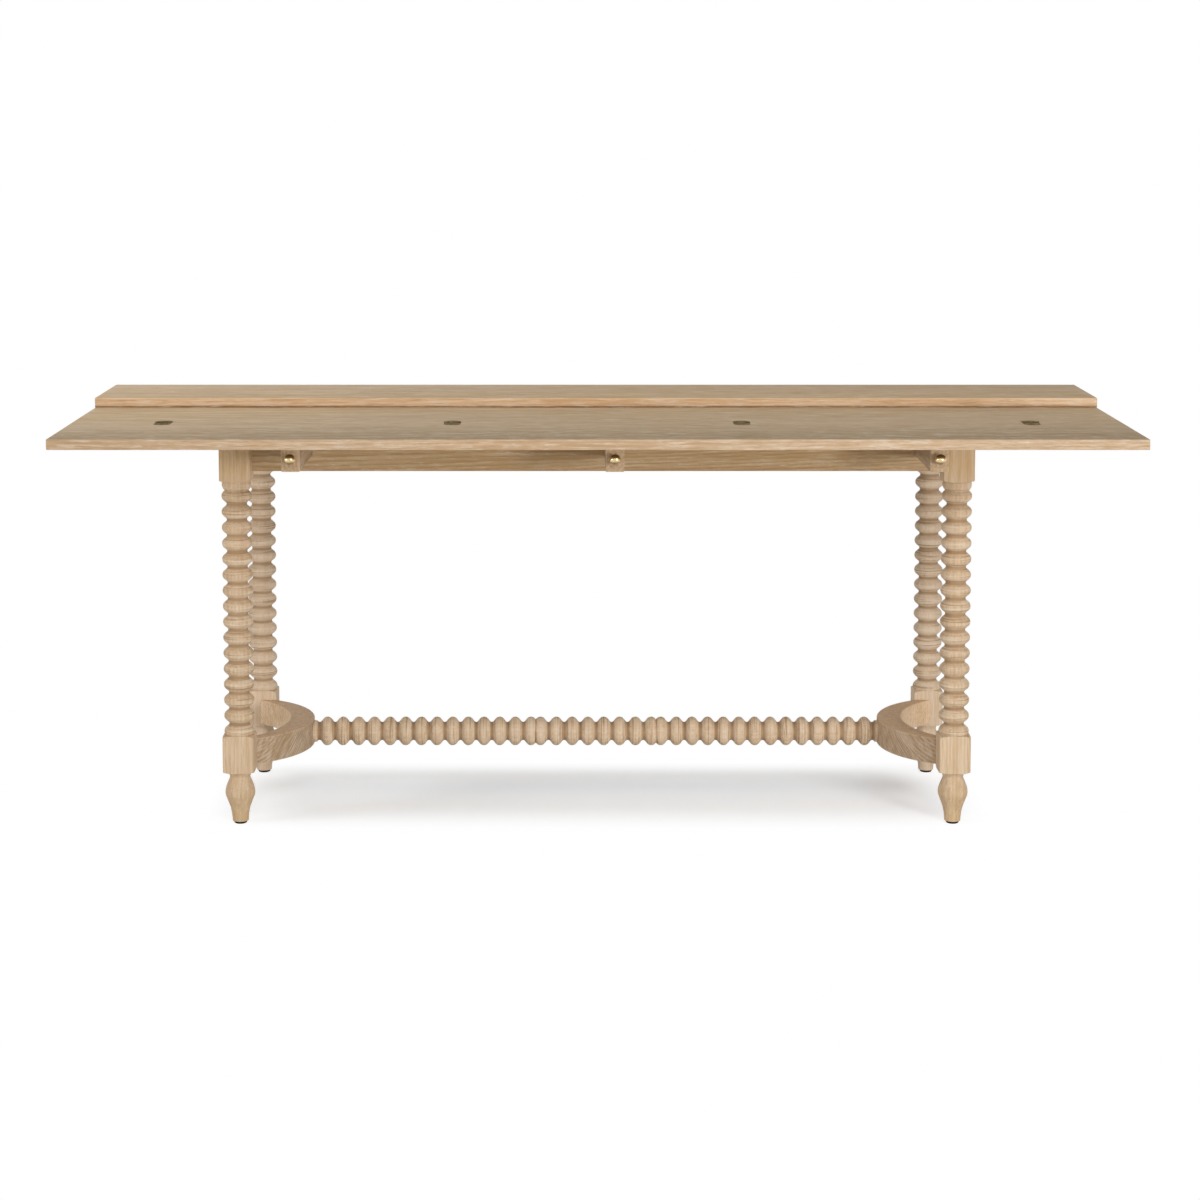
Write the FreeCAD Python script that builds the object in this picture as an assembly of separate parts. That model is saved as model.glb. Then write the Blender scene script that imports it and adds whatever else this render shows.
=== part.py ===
import FreeCAD, Part
import math
import os

from FreeCAD import Vector

# Flip-top table, open: X along its length, -Y to the front, +Z up, floor at zero, millimetres

# Top
table_length = 1879.6
table_height = 762.0
strip_depth = 228.6
board_thickness = 18.0
fold_gap = 0.5
joint_gap = 0.8
edge_round = 1.5
top_overhang = 17.6
end_overhang = 259.8

# Legs
leg_block = 56.0
upper_block_height = 92.5
lower_block_height = 70.4
shoulder_round = 17.5
leg_crest_count = 16
leg_crest_radius = 27.5
leg_neck_radius = 18.2
lowest_bobbin_sink = 4.6
top_crest_drop = 27.7
collar_radius = 26.6
collar_neck_radius = 21.0
collar_sink = 5.0
neck_arc_share = 0.3
flank_share = 0.52
foot_height = 92.0
foot_bulb_radius = 27.0
foot_outline_shares = (
    (0.000, 0.540),
    (0.120, 0.572),
    (0.270, 0.668),
    (0.410, 0.838),
    (0.520, 0.978),
    (0.600, 1.000),
    (0.690, 0.948),
    (0.800, 0.805),
    (0.885, 0.692),
    (0.950, 0.752),
    (1.000, 0.835),
)

# Floor glides
glide_radius = 12.0
glide_height = 5.0
glide_round = 3.0
glide_nail_radius = 1.6
glide_nail_length = 18.0

# Aprons
apron_height = 76.0
apron_thickness = 22.0
front_apron_setback = 32.0
end_apron_setback = 4.0
tenon_thickness = 9.0
tenon_length = 28.0
tenon_shoulder = 12.0

# Crescent stretchers
crescent_height = 48.0
crescent_lift = 5.0
crescent_bow_depth = 90.0
crescent_apex_width = 46.0
crescent_end_width = 32.0
crescent_tenon_width = 18.0
crescent_tenon_height = 30.0
crescent_tenon_length = 22.0

# Long stretcher
stretcher_crest_radius = 27.0
stretcher_neck_radius = 17.0
stretcher_pitch = 30.0
stretcher_middle_pair_count = 3
stretcher_outer_crest_count = 13
stretcher_cut = 9.0
stretcher_end_run = 10.0
stretcher_collar_radius = 20.3
stretcher_seat = 1.3
stretcher_tenon_radius = 12.0
stretcher_tenon_length = 26.0
stretcher_dowel_radius = 6.0
stretcher_dowel_length = 50.0

# Lopers and the channels that they run in
loper_width = 32.0
loper_height = 48.0
loper_travel_allowance = 28.6
loper_rear_gap = 9.0
loper_lead = 3.0
loper_ease = 1.5
loper_top_gap = 0.5
bearer_width = 27.0
cleat_width = 15.0
keeper_thickness = 12.0
stop_pin_radius = 5.0
stop_pin_setback = 20.0
stop_pin_grip = 25.0
stop_pin_drop = 9.0

# Ball knobs
knob_ball_radius = 9.2
knob_neck_radius = 3.6
knob_neck_length = 4.0
knob_base_radius = 6.5
knob_base_thickness = 1.4
knob_stud_radius = 2.5
knob_stud_length = 18.0
knob_cove_shares = (0.27, 0.42)

# Oval hinges
hinge_inner_share = 0.275
hinge_outer_share = 0.825
hinge_width = 30.0
hinge_half_length = 33.0
hinge_thickness = 3.0
knuckle_radius = 2.4
knuckle_end_gap = 0.2
hinge_pin_radius = 1.2
hinge_screw_near = 10.5
hinge_screw_far = 22.5
hinge_screw_head = 3.0
hinge_screw_head_depth = 1.8
hinge_screw_shank = 1.5
hinge_screw_length = 13.0
hinge_screw_sink = 0.2

# Wood screws and top buttons
screw_head = 4.2
screw_head_depth = 3.0
screw_shank = 2.2
panel_screw_length = 30.0
panel_screw_inset = 70.0
panel_screw_row_count = 2
panel_screw_place_shares = (-0.9, -0.36, 0.36, 0.9)
keeper_screw_length = 32.0
keeper_screw_inset = 40.0
button_width = 32.0
button_depth = 26.0
button_height = 16.0
button_tongue = 8.0
button_tongue_depth = 7.0
button_screw_length = 24.0
button_place_shares = (-0.58, -0.22, 0.30, 0.65)

# Clearances
slide_clearance = 0.5
lift_clearance = 0.3
turn_clearance = 0.3
fit_clearance = 0.1
pin_clearance = 0.05
cut_overrun = 5.0

# Levels and planes that several pieces share
half_length = table_length / 2
closed_front = -strip_depth / 2
closed_back = closed_front + 2 * strip_depth
open_front = closed_front - strip_depth
step_front = closed_front + strip_depth
panel_thickness = board_thickness + fold_gap
board_top = table_height - panel_thickness
frame_top = board_top - board_thickness
hinge_axis = Vector(0, closed_front, board_top + fold_gap / 2)
leg_x = half_length - end_overhang - leg_block / 2
front_leg_y = closed_front + top_overhang + leg_block / 2
rear_leg_y = closed_back - top_overhang - leg_block / 2
middle_y = (front_leg_y + rear_leg_y) / 2
block_inner_x = leg_x - leg_block / 2
front_block_back = front_leg_y + leg_block / 2
rear_block_front = rear_leg_y - leg_block / 2
upper_block_bottom = frame_top - upper_block_height
lower_block_bottom = glide_height + foot_height
lower_block_top = lower_block_bottom + lower_block_height
apron_bottom = frame_top - apron_height
front_apron_face = front_leg_y - leg_block / 2 + front_apron_setback
front_apron_back = front_apron_face + apron_thickness
rear_apron_face = rear_leg_y + leg_block / 2 - front_apron_setback
rear_apron_front = rear_apron_face - apron_thickness
end_apron_face = leg_x + leg_block / 2 - end_apron_setback
end_apron_inner = end_apron_face - apron_thickness
crescent_bottom = lower_block_bottom + crescent_lift
crescent_top = crescent_bottom + crescent_height
crescent_middle = (crescent_bottom + crescent_top) / 2
crescent_apex = block_inner_x - crescent_bow_depth
stretcher_joint = (stretcher_middle_pair_count + 0.5) * stretcher_pitch + stretcher_cut
loper_top = frame_top - loper_top_gap
loper_bottom = loper_top - loper_height
keeper_top = loper_bottom - lift_clearance
bearer_to_loper = bearer_width / 2 + slide_clearance + loper_width / 2
cleat_right = bearer_to_loper + loper_width / 2 + slide_clearance + cleat_width
bearer_spacing = block_inner_x - slide_clearance - cleat_right
loper_travel = strip_depth - loper_travel_allowance
loper_front = front_apron_face - loper_lead - loper_travel
loper_back = rear_apron_front - loper_rear_gap - loper_travel
stop_pin_y = loper_back - stop_pin_setback

channel_places = {"left": -bearer_spacing, "centre": 0.0, "right": bearer_spacing}
leg_places = {
    "front_left": Vector(-leg_x, front_leg_y, 0),
    "front_right": Vector(leg_x, front_leg_y, 0),
    "rear_left": Vector(-leg_x, rear_leg_y, 0),
    "rear_right": Vector(leg_x, rear_leg_y, 0),
}
hinge_places = {
    "outer_left": -half_length * hinge_outer_share,
    "inner_left": -half_length * hinge_inner_share,
    "inner_right": half_length * hinge_inner_share,
    "outer_right": half_length * hinge_outer_share,
}

along_x = Vector(1, 0, 0)
along_y = Vector(0, 1, 0)
along_z = Vector(0, 0, 1)
full_turn = 360.0
quarter_turn = 90.0


# Shared shapes

def block(low, high):
    """A rectangular block between two opposite corners."""
    size = high.sub(low)
    return Part.makeBox(size.x, size.y, size.z, low)


def line(start, end):
    """A straight edge."""
    return Part.LineSegment(start, end).toShape()


def arc(start, middle, end):
    """A round edge through three points."""
    return Part.Arc(start, middle, end).toShape()


def point(radius, height):
    """A point of a turned outline."""
    return Vector(radius, 0, height)


def turned(edges):
    """The solid that a closed outline beside the Z axis sweeps in one turn."""
    return Part.Face(Part.Wire(edges)).revolve(Vector(), along_z, full_turn)


def rod(radius, length, base, direction):
    """A plain round rod."""
    return Part.makeCylinder(radius, length, base, direction)


def ease(solid, radius, wanted):
    """Round the edges whose middle point meets a test."""
    edges = [edge for edge in solid.Edges if wanted(edge.CenterOfMass)]
    return solid.makeFillet(radius, edges)


def countersunk_screw(head, head_depth, shank, length, clearance):
    """A countersunk screw under the origin, head up, or the space for it with a clearance."""
    outline = [
        point(0, 0),
        point(head + clearance, 0),
        point(shank + clearance, -head_depth),
        point(shank + clearance, -length - clearance),
        point(0, -length - clearance),
        point(0, 0),
    ]
    return turned([line(a, b) for a, b in zip(outline, outline[1:])])


def placed(solid, place, flipped=False):
    """A copy at a place, turned upside down first where asked."""
    copy = solid.copy()
    if flipped:
        copy.rotate(Vector(), along_x, full_turn / 2)
    copy.translate(place)
    return copy


# Bobbin turning

class BobbinRow:
    """A row of round crests and necks, joined by straight flanks that meet both without a break."""

    def __init__(self, crest_radius, neck_radius, pitch, first_crest, crests):
        depth = crest_radius - neck_radius
        half = pitch / 2
        self.flank = math.atan2(depth, half) * (1 + flank_share)
        run = half * math.sin(self.flank) - depth * math.cos(self.flank)
        arc_sum = run / (1 - math.cos(self.flank))
        self.neck_arc = arc_sum * neck_arc_share
        self.crest_arc = arc_sum - self.neck_arc
        self.crest_radius = crest_radius
        self.neck_radius = neck_radius
        self.half = half
        self.crest_end = self.crest_arc * math.sin(self.flank)
        self.neck_end = self.neck_arc * math.sin(self.flank)
        self.flank_end = half - self.neck_end
        self.heights = [first_crest + pitch * number for number in range(crests)]

    def on_side(self, height, rise):
        """A point of a crest's arc, or of its flank beyond, a rise above or below the crest."""
        reach = min(abs(rise), self.crest_end)
        drop = self.crest_arc - (self.crest_arc ** 2 - reach ** 2) ** 0.5
        drop += (abs(rise) - reach) * math.tan(self.flank)
        return point(self.crest_radius - drop, height + rise)

    def on_neck(self, height, rise):
        """A point of the neck's arc that follows a crest, a rise above or below its bottom."""
        swell = self.neck_arc - (self.neck_arc ** 2 - rise ** 2) ** 0.5
        return point(self.neck_radius + swell, height + self.half + rise)

    def crest(self, height, low_rise, high_rise):
        """The outline over a crest, with its flanks where a rise goes beyond the arc."""
        start = self.on_side(height, -min(low_rise, self.crest_end))
        end = self.on_side(height, min(high_rise, self.crest_end))
        outline = [arc(start, self.on_side(height, 0), end)]
        if low_rise > self.crest_end:
            outline.insert(0, line(self.on_side(height, -low_rise), start))
        if high_rise > self.crest_end:
            outline.append(line(end, self.on_side(height, high_rise)))
        return outline

    def neck(self, height):
        """The arc of the neck that follows a crest."""
        low = self.on_neck(height, -self.neck_end)
        return arc(low, self.on_neck(height, 0), self.on_neck(height, self.neck_end))

    def edges(self, first_rise, last_rise):
        """The outline from under the first crest to above the last."""
        full = [self.flank_end] * (len(self.heights) - 1)
        outline = []
        for height, low_rise, high_rise in zip(self.heights, [first_rise] + full, full + [last_rise]):
            outline.extend(self.crest(height, low_rise, high_rise))
            outline.append(self.neck(height))
        return outline[:-1]

    def flank_rise(self, radius):
        """How far above a neck's bottom the flank that follows it reaches a radius."""
        start = self.on_neck(0, self.neck_end).x
        return self.neck_end + (radius - start) / math.tan(self.flank)


# Legs

def shoulder_point(reach, level, way):
    """A point of a block's turned shoulder, beyond its flat face by a reach."""
    rise = shoulder_round - (shoulder_round ** 2 - reach ** 2) ** 0.5
    return point(leg_block / 2 + reach, level + way * rise)


def shoulder(level, way):
    """The turned shoulder at one end of a block, from its face to its corners."""
    reach = leg_block / 2 * (2 ** 0.5 - 1)
    return [shoulder_point(reach * share, level, way) for share in (0, 0.5, 1)]


def turned_block(bottom, top, top_shoulder):
    """A square block of the leg, with its corners turned back at its shoulders."""
    half = leg_block / 2
    square = block(Vector(-half, -half, bottom), Vector(half, half, top))
    low = shoulder(bottom, 1)
    edges = [line(point(0, bottom), low[0]), arc(*low)]
    if top_shoulder:
        high = shoulder(top, -1)
        edges += [line(low[2], high[2]), arc(*reversed(high)), line(high[0], point(0, top))]
    else:
        corner = point(low[2].x, top)
        edges += [line(low[2], corner), line(corner, point(0, top))]
    edges.append(line(point(0, top), point(0, bottom)))
    return square.common(turned(edges))


def leg_turning():
    """The round work of a leg from its foot to the middle of its upper block."""
    first_crest = lower_block_top + lowest_bobbin_sink
    top_crest = upper_block_bottom - top_crest_drop
    pitch = (top_crest - first_crest) / (leg_crest_count - 1)
    row = BobbinRow(leg_crest_radius, leg_neck_radius, pitch, first_crest, leg_crest_count)
    foot = [
        point(foot_bulb_radius * radius, glide_height + foot_height * height)
        for height, radius in foot_outline_shares
    ]
    outline = Part.BSplineCurve()
    outline.interpolate(foot)
    core_top = upper_block_bottom + upper_block_height / 2
    rise = row.half - row.flank_rise(collar_neck_radius)
    row_start = row.on_side(first_crest, -lowest_bobbin_sink)
    row_end = row.on_side(top_crest, rise)
    collar_high = point(collar_neck_radius, upper_block_bottom + collar_sink)
    collar_crest = point(collar_radius, (row_end.z + collar_high.z) / 2)
    edges = [line(point(0, glide_height), foot[0]), outline.toShape()]
    edges.append(line(foot[-1], row_start))
    edges.extend(row.edges(lowest_bobbin_sink, rise))
    edges.append(arc(row_end, collar_crest, collar_high))
    edges.append(line(collar_high, point(collar_neck_radius, core_top)))
    edges.append(line(point(collar_neck_radius, core_top), point(0, core_top)))
    edges.append(line(point(0, core_top), point(0, glide_height)))
    return turned(edges)


def whole_leg():
    """One leg on the Z axis, before its joints are cut."""
    upper = turned_block(upper_block_bottom, frame_top, False)
    lower = turned_block(lower_block_bottom, lower_block_top, True)
    nail = rod(glide_nail_radius + fit_clearance, glide_nail_length, point(0, glide_height), along_z)
    return upper.fuse([leg_turning(), lower]).removeSplitter().cut(nail)


def glide():
    """A round floor glide on the Z axis with the nail that holds it."""
    flat = glide_radius - glide_round
    diagonal = glide_round * (1 - 0.5 ** 0.5)
    nail_top = glide_height + glide_nail_length - fit_clearance
    edges = [
        line(point(0, 0), point(flat, 0)),
        arc(
            point(flat, 0),
            point(glide_radius - diagonal, diagonal),
            point(glide_radius, glide_round),
        ),
        line(point(glide_radius, glide_round), point(glide_radius, glide_height)),
        line(point(glide_radius, glide_height), point(glide_nail_radius, glide_height)),
        line(point(glide_nail_radius, glide_height), point(glide_nail_radius, nail_top)),
        line(point(glide_nail_radius, nail_top), point(0, nail_top)),
        line(point(0, nail_top), point(0, 0)),
    ]
    return turned(edges)


# Aprons

def tenon(low, high, grow=0.0):
    """A tenon between two corners, or its mortise when grown by a clearance."""
    margin = Vector(grow, grow, grow)
    return block(low.sub(margin), high.add(margin))


def long_apron_tenons(apron_front, grow=0.0):
    """The two end tenons of a front or rear apron."""
    low_y = apron_front + (apron_thickness - tenon_thickness) / 2
    tenons = []
    for side in (-1, 1):
        ends = sorted((side * block_inner_x, side * (block_inner_x + tenon_length)))
        low = Vector(ends[0], low_y, apron_bottom + tenon_shoulder)
        high = Vector(ends[1], low_y + tenon_thickness, frame_top - tenon_shoulder)
        tenons.append(tenon(low, high, grow))
    return tenons


def end_apron_tenons(side, grow=0.0):
    """The front and rear tenons of an end apron."""
    middle = side * (end_apron_face + end_apron_inner) / 2
    low_x = middle - tenon_thickness / 2
    tenons = []
    for start, end in (
        (front_block_back - tenon_length, front_block_back),
        (rear_block_front, rear_block_front + tenon_length),
    ):
        low = Vector(low_x, start, apron_bottom + tenon_shoulder)
        high = Vector(low_x + tenon_thickness, end, frame_top - tenon_shoulder)
        tenons.append(tenon(low, high, grow))
    return tenons


def long_apron(apron_front):
    """A front or rear apron between the leg blocks, with its tenons."""
    low = Vector(-block_inner_x, apron_front, apron_bottom)
    high = Vector(block_inner_x, apron_front + apron_thickness, frame_top)
    return block(low, high).fuse(long_apron_tenons(apron_front)).removeSplitter()


def loper_notches():
    """Spaces in the front apron that the lopers pass through."""
    half = loper_width / 2 + slide_clearance
    notches = []
    for bearer_x in channel_places.values():
        middle = bearer_x + bearer_to_loper
        low = Vector(middle - half, front_apron_face - cut_overrun, keeper_top)
        high = Vector(middle + half, front_apron_back + cut_overrun, frame_top + cut_overrun)
        notches.append(block(low, high))
    return notches


def end_apron(side):
    """An end apron between the front and rear leg blocks, with its tenons."""
    ends = sorted((side * end_apron_inner, side * end_apron_face))
    low = Vector(ends[0], front_block_back, apron_bottom)
    high = Vector(ends[1], rear_block_front, frame_top)
    return block(low, high).fuse(end_apron_tenons(side)).removeSplitter()


# Crescent stretchers

def crescent_outline(side):
    """The crescent's plan: two arcs that end on the facing sides of the leg blocks."""
    outer_end = side * block_inner_x
    inner_end = side * (block_inner_x + crescent_end_width)
    outer_apex = Vector(side * crescent_apex, middle_y, crescent_bottom)
    inner_apex = Vector(side * (crescent_apex + crescent_apex_width), middle_y, crescent_bottom)
    outer_front = Vector(outer_end, front_block_back, crescent_bottom)
    outer_rear = Vector(outer_end, rear_block_front, crescent_bottom)
    inner_front = Vector(inner_end, front_block_back, crescent_bottom)
    inner_rear = Vector(inner_end, rear_block_front, crescent_bottom)
    return [
        arc(outer_front, outer_apex, outer_rear),
        line(outer_rear, inner_rear),
        arc(inner_rear, inner_apex, inner_front),
        line(inner_front, outer_front),
    ]


def crescent_tenons(side, grow=0.0):
    """The two tenons that hold a crescent in the leg blocks."""
    middle = side * (block_inner_x + crescent_end_width / 2)
    low_x = middle - crescent_tenon_width / 2
    low_z = crescent_middle - crescent_tenon_height / 2
    tenons = []
    for start, end in (
        (front_block_back - crescent_tenon_length, front_block_back),
        (rear_block_front, rear_block_front + crescent_tenon_length),
    ):
        low = Vector(low_x, start, low_z)
        high = Vector(low_x + crescent_tenon_width, end, low_z + crescent_tenon_height)
        tenons.append(tenon(low, high, grow))
    return tenons


def on_crescent_rim(middle):
    """Whether an edge's middle lies on the long curved edges of a crescent's faces."""
    at_face = abs(middle.z - crescent_middle) > crescent_height / 4
    return at_face and abs(middle.y - middle_y) < leg_block


def crescent(side):
    """A crescent stretcher, bored at its apex for the long stretcher."""
    plan = Part.Face(Part.Wire(crescent_outline(side)))
    solid = plan.extrude(along_z * crescent_height)
    solid = ease(solid, edge_round, on_crescent_rim)
    mouth = Vector(side * (crescent_apex - cut_overrun), middle_y, crescent_middle)
    spaces = [
        rod(radius + fit_clearance, cut_overrun + depth, mouth, along_x * side)
        for radius, depth in (
            (stretcher_collar_radius, stretcher_seat),
            (stretcher_tenon_radius, stretcher_tenon_length + fit_clearance),
        )
    ]
    return solid.fuse(crescent_tenons(side)).removeSplitter().cut(spaces)


# Long stretcher

def laid_along(solid, direction):
    """A turning made along Z, laid along the table on the stretcher's axis."""
    laid = solid.copy()
    laid.rotate(Vector(), along_y, direction * quarter_turn)
    laid.translate(Vector(0, middle_y, crescent_middle))
    return laid


def stretcher_dowel_space():
    """Holes for the two dowels between the stretcher's sections, along Z."""
    length = stretcher_dowel_length + 2 * fit_clearance
    radius = stretcher_dowel_radius + fit_clearance
    return [
        rod(radius, length, point(0, joint - length / 2), along_z)
        for joint in (-stretcher_joint, stretcher_joint)
    ]


def stretcher_outer_section():
    """An outer section of the stretcher along Z, from the joint to its round tenon."""
    start = stretcher_joint + stretcher_cut
    end = crescent_apex
    pitch = (end - stretcher_end_run - start) / (stretcher_outer_crest_count + 0.5)
    row = BobbinRow(
        stretcher_crest_radius,
        stretcher_neck_radius,
        pitch,
        start,
        stretcher_outer_crest_count + 1,
    )
    last = row.heights[-1]
    seat = end + stretcher_seat
    tenon_end = end + stretcher_tenon_length
    flank_end = last + row.half + row.flank_rise(stretcher_collar_radius)
    corners = [
        row.on_neck(last, row.neck_end),
        point(stretcher_collar_radius, flank_end),
        point(stretcher_collar_radius, seat),
        point(stretcher_tenon_radius, seat),
        point(stretcher_tenon_radius, tenon_end),
        point(0, tenon_end),
        point(0, stretcher_joint),
        row.on_side(start, -stretcher_cut),
    ]
    edges = row.edges(stretcher_cut, row.flank_end)
    edges.append(row.neck(last))
    edges.extend(line(a, b) for a, b in zip(corners, corners[1:]))
    return turned(edges).cut(stretcher_dowel_space())


def stretcher_middle_section():
    """The middle section of the stretcher along Z, cut flat at both joints."""
    crests = 2 * stretcher_middle_pair_count + 2
    first_crest = stretcher_cut - stretcher_joint
    row = BobbinRow(
        stretcher_crest_radius,
        stretcher_neck_radius,
        stretcher_pitch,
        first_crest,
        crests,
    )
    first = row.on_side(first_crest, -stretcher_cut)
    last = row.on_side(row.heights[-1], stretcher_cut)
    edges = [line(point(0, -stretcher_joint), first)]
    edges.extend(row.edges(stretcher_cut, stretcher_cut))
    edges.append(line(last, point(0, stretcher_joint)))
    edges.append(line(point(0, stretcher_joint), point(0, -stretcher_joint)))
    return turned(edges).cut(stretcher_dowel_space())


def stretcher_dowels():
    """The two dowels between the stretcher's sections."""
    return [
        laid_along(
            rod(
                stretcher_dowel_radius,
                stretcher_dowel_length,
                point(0, joint - stretcher_dowel_length / 2),
                along_z,
            ),
            1,
        )
        for joint in (-stretcher_joint, stretcher_joint)
    ]


# Loper channels

def bearer(bearer_x):
    """A cross bearer between the front and rear aprons."""
    low = Vector(bearer_x - bearer_width / 2, front_apron_back, keeper_top)
    high = Vector(bearer_x + bearer_width / 2, rear_apron_front, frame_top)
    return block(low, high)


def cleat(bearer_x):
    """The guide cleat on the other side of the loper from its bearer."""
    right = bearer_x + cleat_right
    low = Vector(right - cleat_width, front_apron_back, keeper_top)
    high = Vector(right, rear_apron_front, frame_top)
    return block(low, high)


def keeper(bearer_x):
    """The strip under a loper, slotted for its stop pin."""
    low = Vector(bearer_x - bearer_width / 2, front_apron_back, keeper_top - keeper_thickness)
    high = Vector(bearer_x + cleat_right, rear_apron_front, keeper_top)
    middle = bearer_x + bearer_to_loper
    radius = stop_pin_radius + slide_clearance
    base_z = keeper_top - keeper_thickness - cut_overrun
    depth = keeper_thickness + 2 * cut_overrun
    slot_low = Vector(middle - radius, stop_pin_y, base_z)
    slot_high = Vector(middle + radius, stop_pin_y + loper_travel, base_z + depth)
    slot = [block(slot_low, slot_high)]
    for end in (stop_pin_y, stop_pin_y + loper_travel):
        slot.append(rod(radius, depth, Vector(middle, end, base_z), along_z))
    return block(low, high).cut(slot)


def keeper_screw_places(bearer_x):
    """Where a keeper is screwed up into its bearer and its cleat."""
    cleat_x = bearer_x + cleat_right - cleat_width / 2
    return [
        Vector(x, y, keeper_top - keeper_thickness)
        for x in (bearer_x, cleat_x)
        for y in (front_apron_back + keeper_screw_inset, rear_apron_front - keeper_screw_inset)
    ]


# Lopers

def loper(bearer_x):
    """A pulled-out loper, drilled for its knob and its stop pin."""
    middle = bearer_x + bearer_to_loper
    low = Vector(middle - loper_width / 2, loper_front, loper_bottom)
    high = Vector(middle + loper_width / 2, loper_back, loper_top)
    solid = ease(
        block(low, high),
        loper_ease,
        lambda centre: abs(centre.y - loper_front) < loper_ease,
    )
    stud = rod(
        knob_stud_radius + fit_clearance,
        knob_stud_length + fit_clearance + cut_overrun,
        Vector(middle, loper_front - cut_overrun, loper_middle()),
        along_y,
    )
    pin = rod(
        stop_pin_radius + fit_clearance,
        stop_pin_grip + fit_clearance + cut_overrun,
        Vector(middle, stop_pin_y, loper_bottom - cut_overrun),
        along_z,
    )
    return solid.cut([stud, pin])


def loper_middle():
    """The height of a loper's centre line."""
    return (loper_bottom + loper_top) / 2


def stop_pin(bearer_x):
    """The pin under a loper that stops it at both ends of the keeper's slot."""
    base = Vector(bearer_x + bearer_to_loper, stop_pin_y, loper_bottom - stop_pin_drop)
    return rod(stop_pin_radius, stop_pin_drop + stop_pin_grip, base, along_z)


def knob(bearer_x):
    """A turned ball knob with its base, neck and stud."""
    neck_top = knob_base_thickness + knob_neck_length
    ball_rise = (knob_ball_radius ** 2 - knob_neck_radius ** 2) ** 0.5
    ball_middle = neck_top + ball_rise
    base_rim = point(knob_base_radius, knob_base_thickness)
    cove_radius = knob_neck_radius + (knob_base_radius - knob_neck_radius) * knob_cove_shares[0]
    cove = point(cove_radius, knob_base_thickness + knob_neck_length * knob_cove_shares[1])
    edges = [
        line(point(0, -knob_stud_length), point(knob_stud_radius, -knob_stud_length)),
        line(point(knob_stud_radius, -knob_stud_length), point(knob_stud_radius, 0)),
        line(point(knob_stud_radius, 0), point(knob_base_radius, 0)),
        line(point(knob_base_radius, 0), base_rim),
        arc(base_rim, cove, point(knob_neck_radius, neck_top)),
        arc(
            point(knob_neck_radius, neck_top),
            point(knob_ball_radius, ball_middle),
            point(0, ball_middle + knob_ball_radius),
        ),
        line(point(0, ball_middle + knob_ball_radius), point(0, -knob_stud_length)),
    ]
    solid = turned(edges)
    solid.rotate(Vector(), along_x, quarter_turn)
    solid.translate(Vector(bearer_x + bearer_to_loper, loper_front, loper_middle()))
    return solid


# Hinges

def hinge_oval(side, grow):
    """One half of a hinge's oval plate, to the front (-1) or the back (1) of the axis."""
    half = hinge_width / 2 + grow
    bottom = board_top - hinge_thickness
    near = side * joint_gap / 2
    far = side * (hinge_half_length - hinge_width / 2)
    tip = far + side * half
    edges = [
        line(Vector(-half, near, bottom), Vector(half, near, bottom)),
        line(Vector(half, near, bottom), Vector(half, far, bottom)),
        arc(Vector(half, far, bottom), Vector(0, tip, bottom), Vector(-half, far, bottom)),
        line(Vector(-half, far, bottom), Vector(-half, near, bottom)),
    ]
    return Part.Face(Part.Wire(edges)).extrude(along_z * hinge_thickness)


def hinge_recess(side, hinge_x):
    """The space cut in the leaf or the board for a hinge's plate and knuckles."""
    space = hinge_oval(side, knuckle_end_gap)
    space.translate(Vector(hinge_x, hinge_axis.y, 0))
    half = hinge_width / 2 + knuckle_end_gap
    barrel = rod(
        knuckle_radius + turn_clearance,
        2 * half,
        Vector(hinge_x - half, hinge_axis.y, hinge_axis.z),
        along_x,
    )
    return [space, barrel]


def knuckle_spans(side):
    """The stretches of the barrel that belong to the leaf (-1) or to the board (1)."""
    third = hinge_width / 3
    inner = third / 2
    if side < 0:
        return [(-inner + knuckle_end_gap / 2, inner - knuckle_end_gap / 2)]
    outer = hinge_width / 2
    return [(-outer, -inner - knuckle_end_gap / 2), (inner + knuckle_end_gap / 2, outer)]


def barrel_rods(spans, radius, end_gap=0.0):
    """Rods on the hinge's axis over given stretches."""
    level = hinge_axis.z
    return [
        rod(radius, end - start + 2 * end_gap, Vector(start - end_gap, 0, level), along_x)
        for start, end in spans
    ]


def hinge_screw_spots(side):
    """Places of the screws in half a hinge, from its axis."""
    return [side * hinge_screw_near, side * hinge_screw_far]


def hinge_screw(clearance):
    """A small countersunk hinge screw, or its space."""
    return countersunk_screw(
        hinge_screw_head,
        hinge_screw_head_depth,
        hinge_screw_shank,
        hinge_screw_length,
        clearance,
    )


def hinge_screw_places(side):
    """Where the screws of all hinges stand in the leaf or in the board."""
    level = board_top - hinge_screw_sink
    return [
        Vector(hinge_x, hinge_axis.y + spot, level)
        for hinge_x in hinge_places.values()
        for spot in hinge_screw_spots(side)
    ]


def hinge_screw_spaces(side):
    """The drilled spaces of those screws, open to the surface."""
    spaces = []
    for place in hinge_screw_places(side):
        spaces.append(placed(hinge_screw(fit_clearance), place))
        spaces.append(rod(hinge_screw_head + fit_clearance, cut_overrun, place, along_z))
    return spaces


def hinge_plate(side, hinge_x):
    """Half of a hinge: its oval plate with knuckles, clear of the other half's knuckles."""
    solid = hinge_oval(side, 0.0).fuse(barrel_rods(knuckle_spans(side), knuckle_radius))
    solid = solid.removeSplitter()
    relief = barrel_rods(knuckle_spans(-side), knuckle_radius + turn_clearance, knuckle_end_gap)
    outer = hinge_width / 2 + cut_overrun
    bore = barrel_rods([(-outer, outer)], hinge_pin_radius + pin_clearance)
    solid = solid.cut(relief).cut(bore)
    solid.translate(Vector(hinge_x, hinge_axis.y, 0))
    return solid.cut(hinge_screw_spaces(side))


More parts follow.
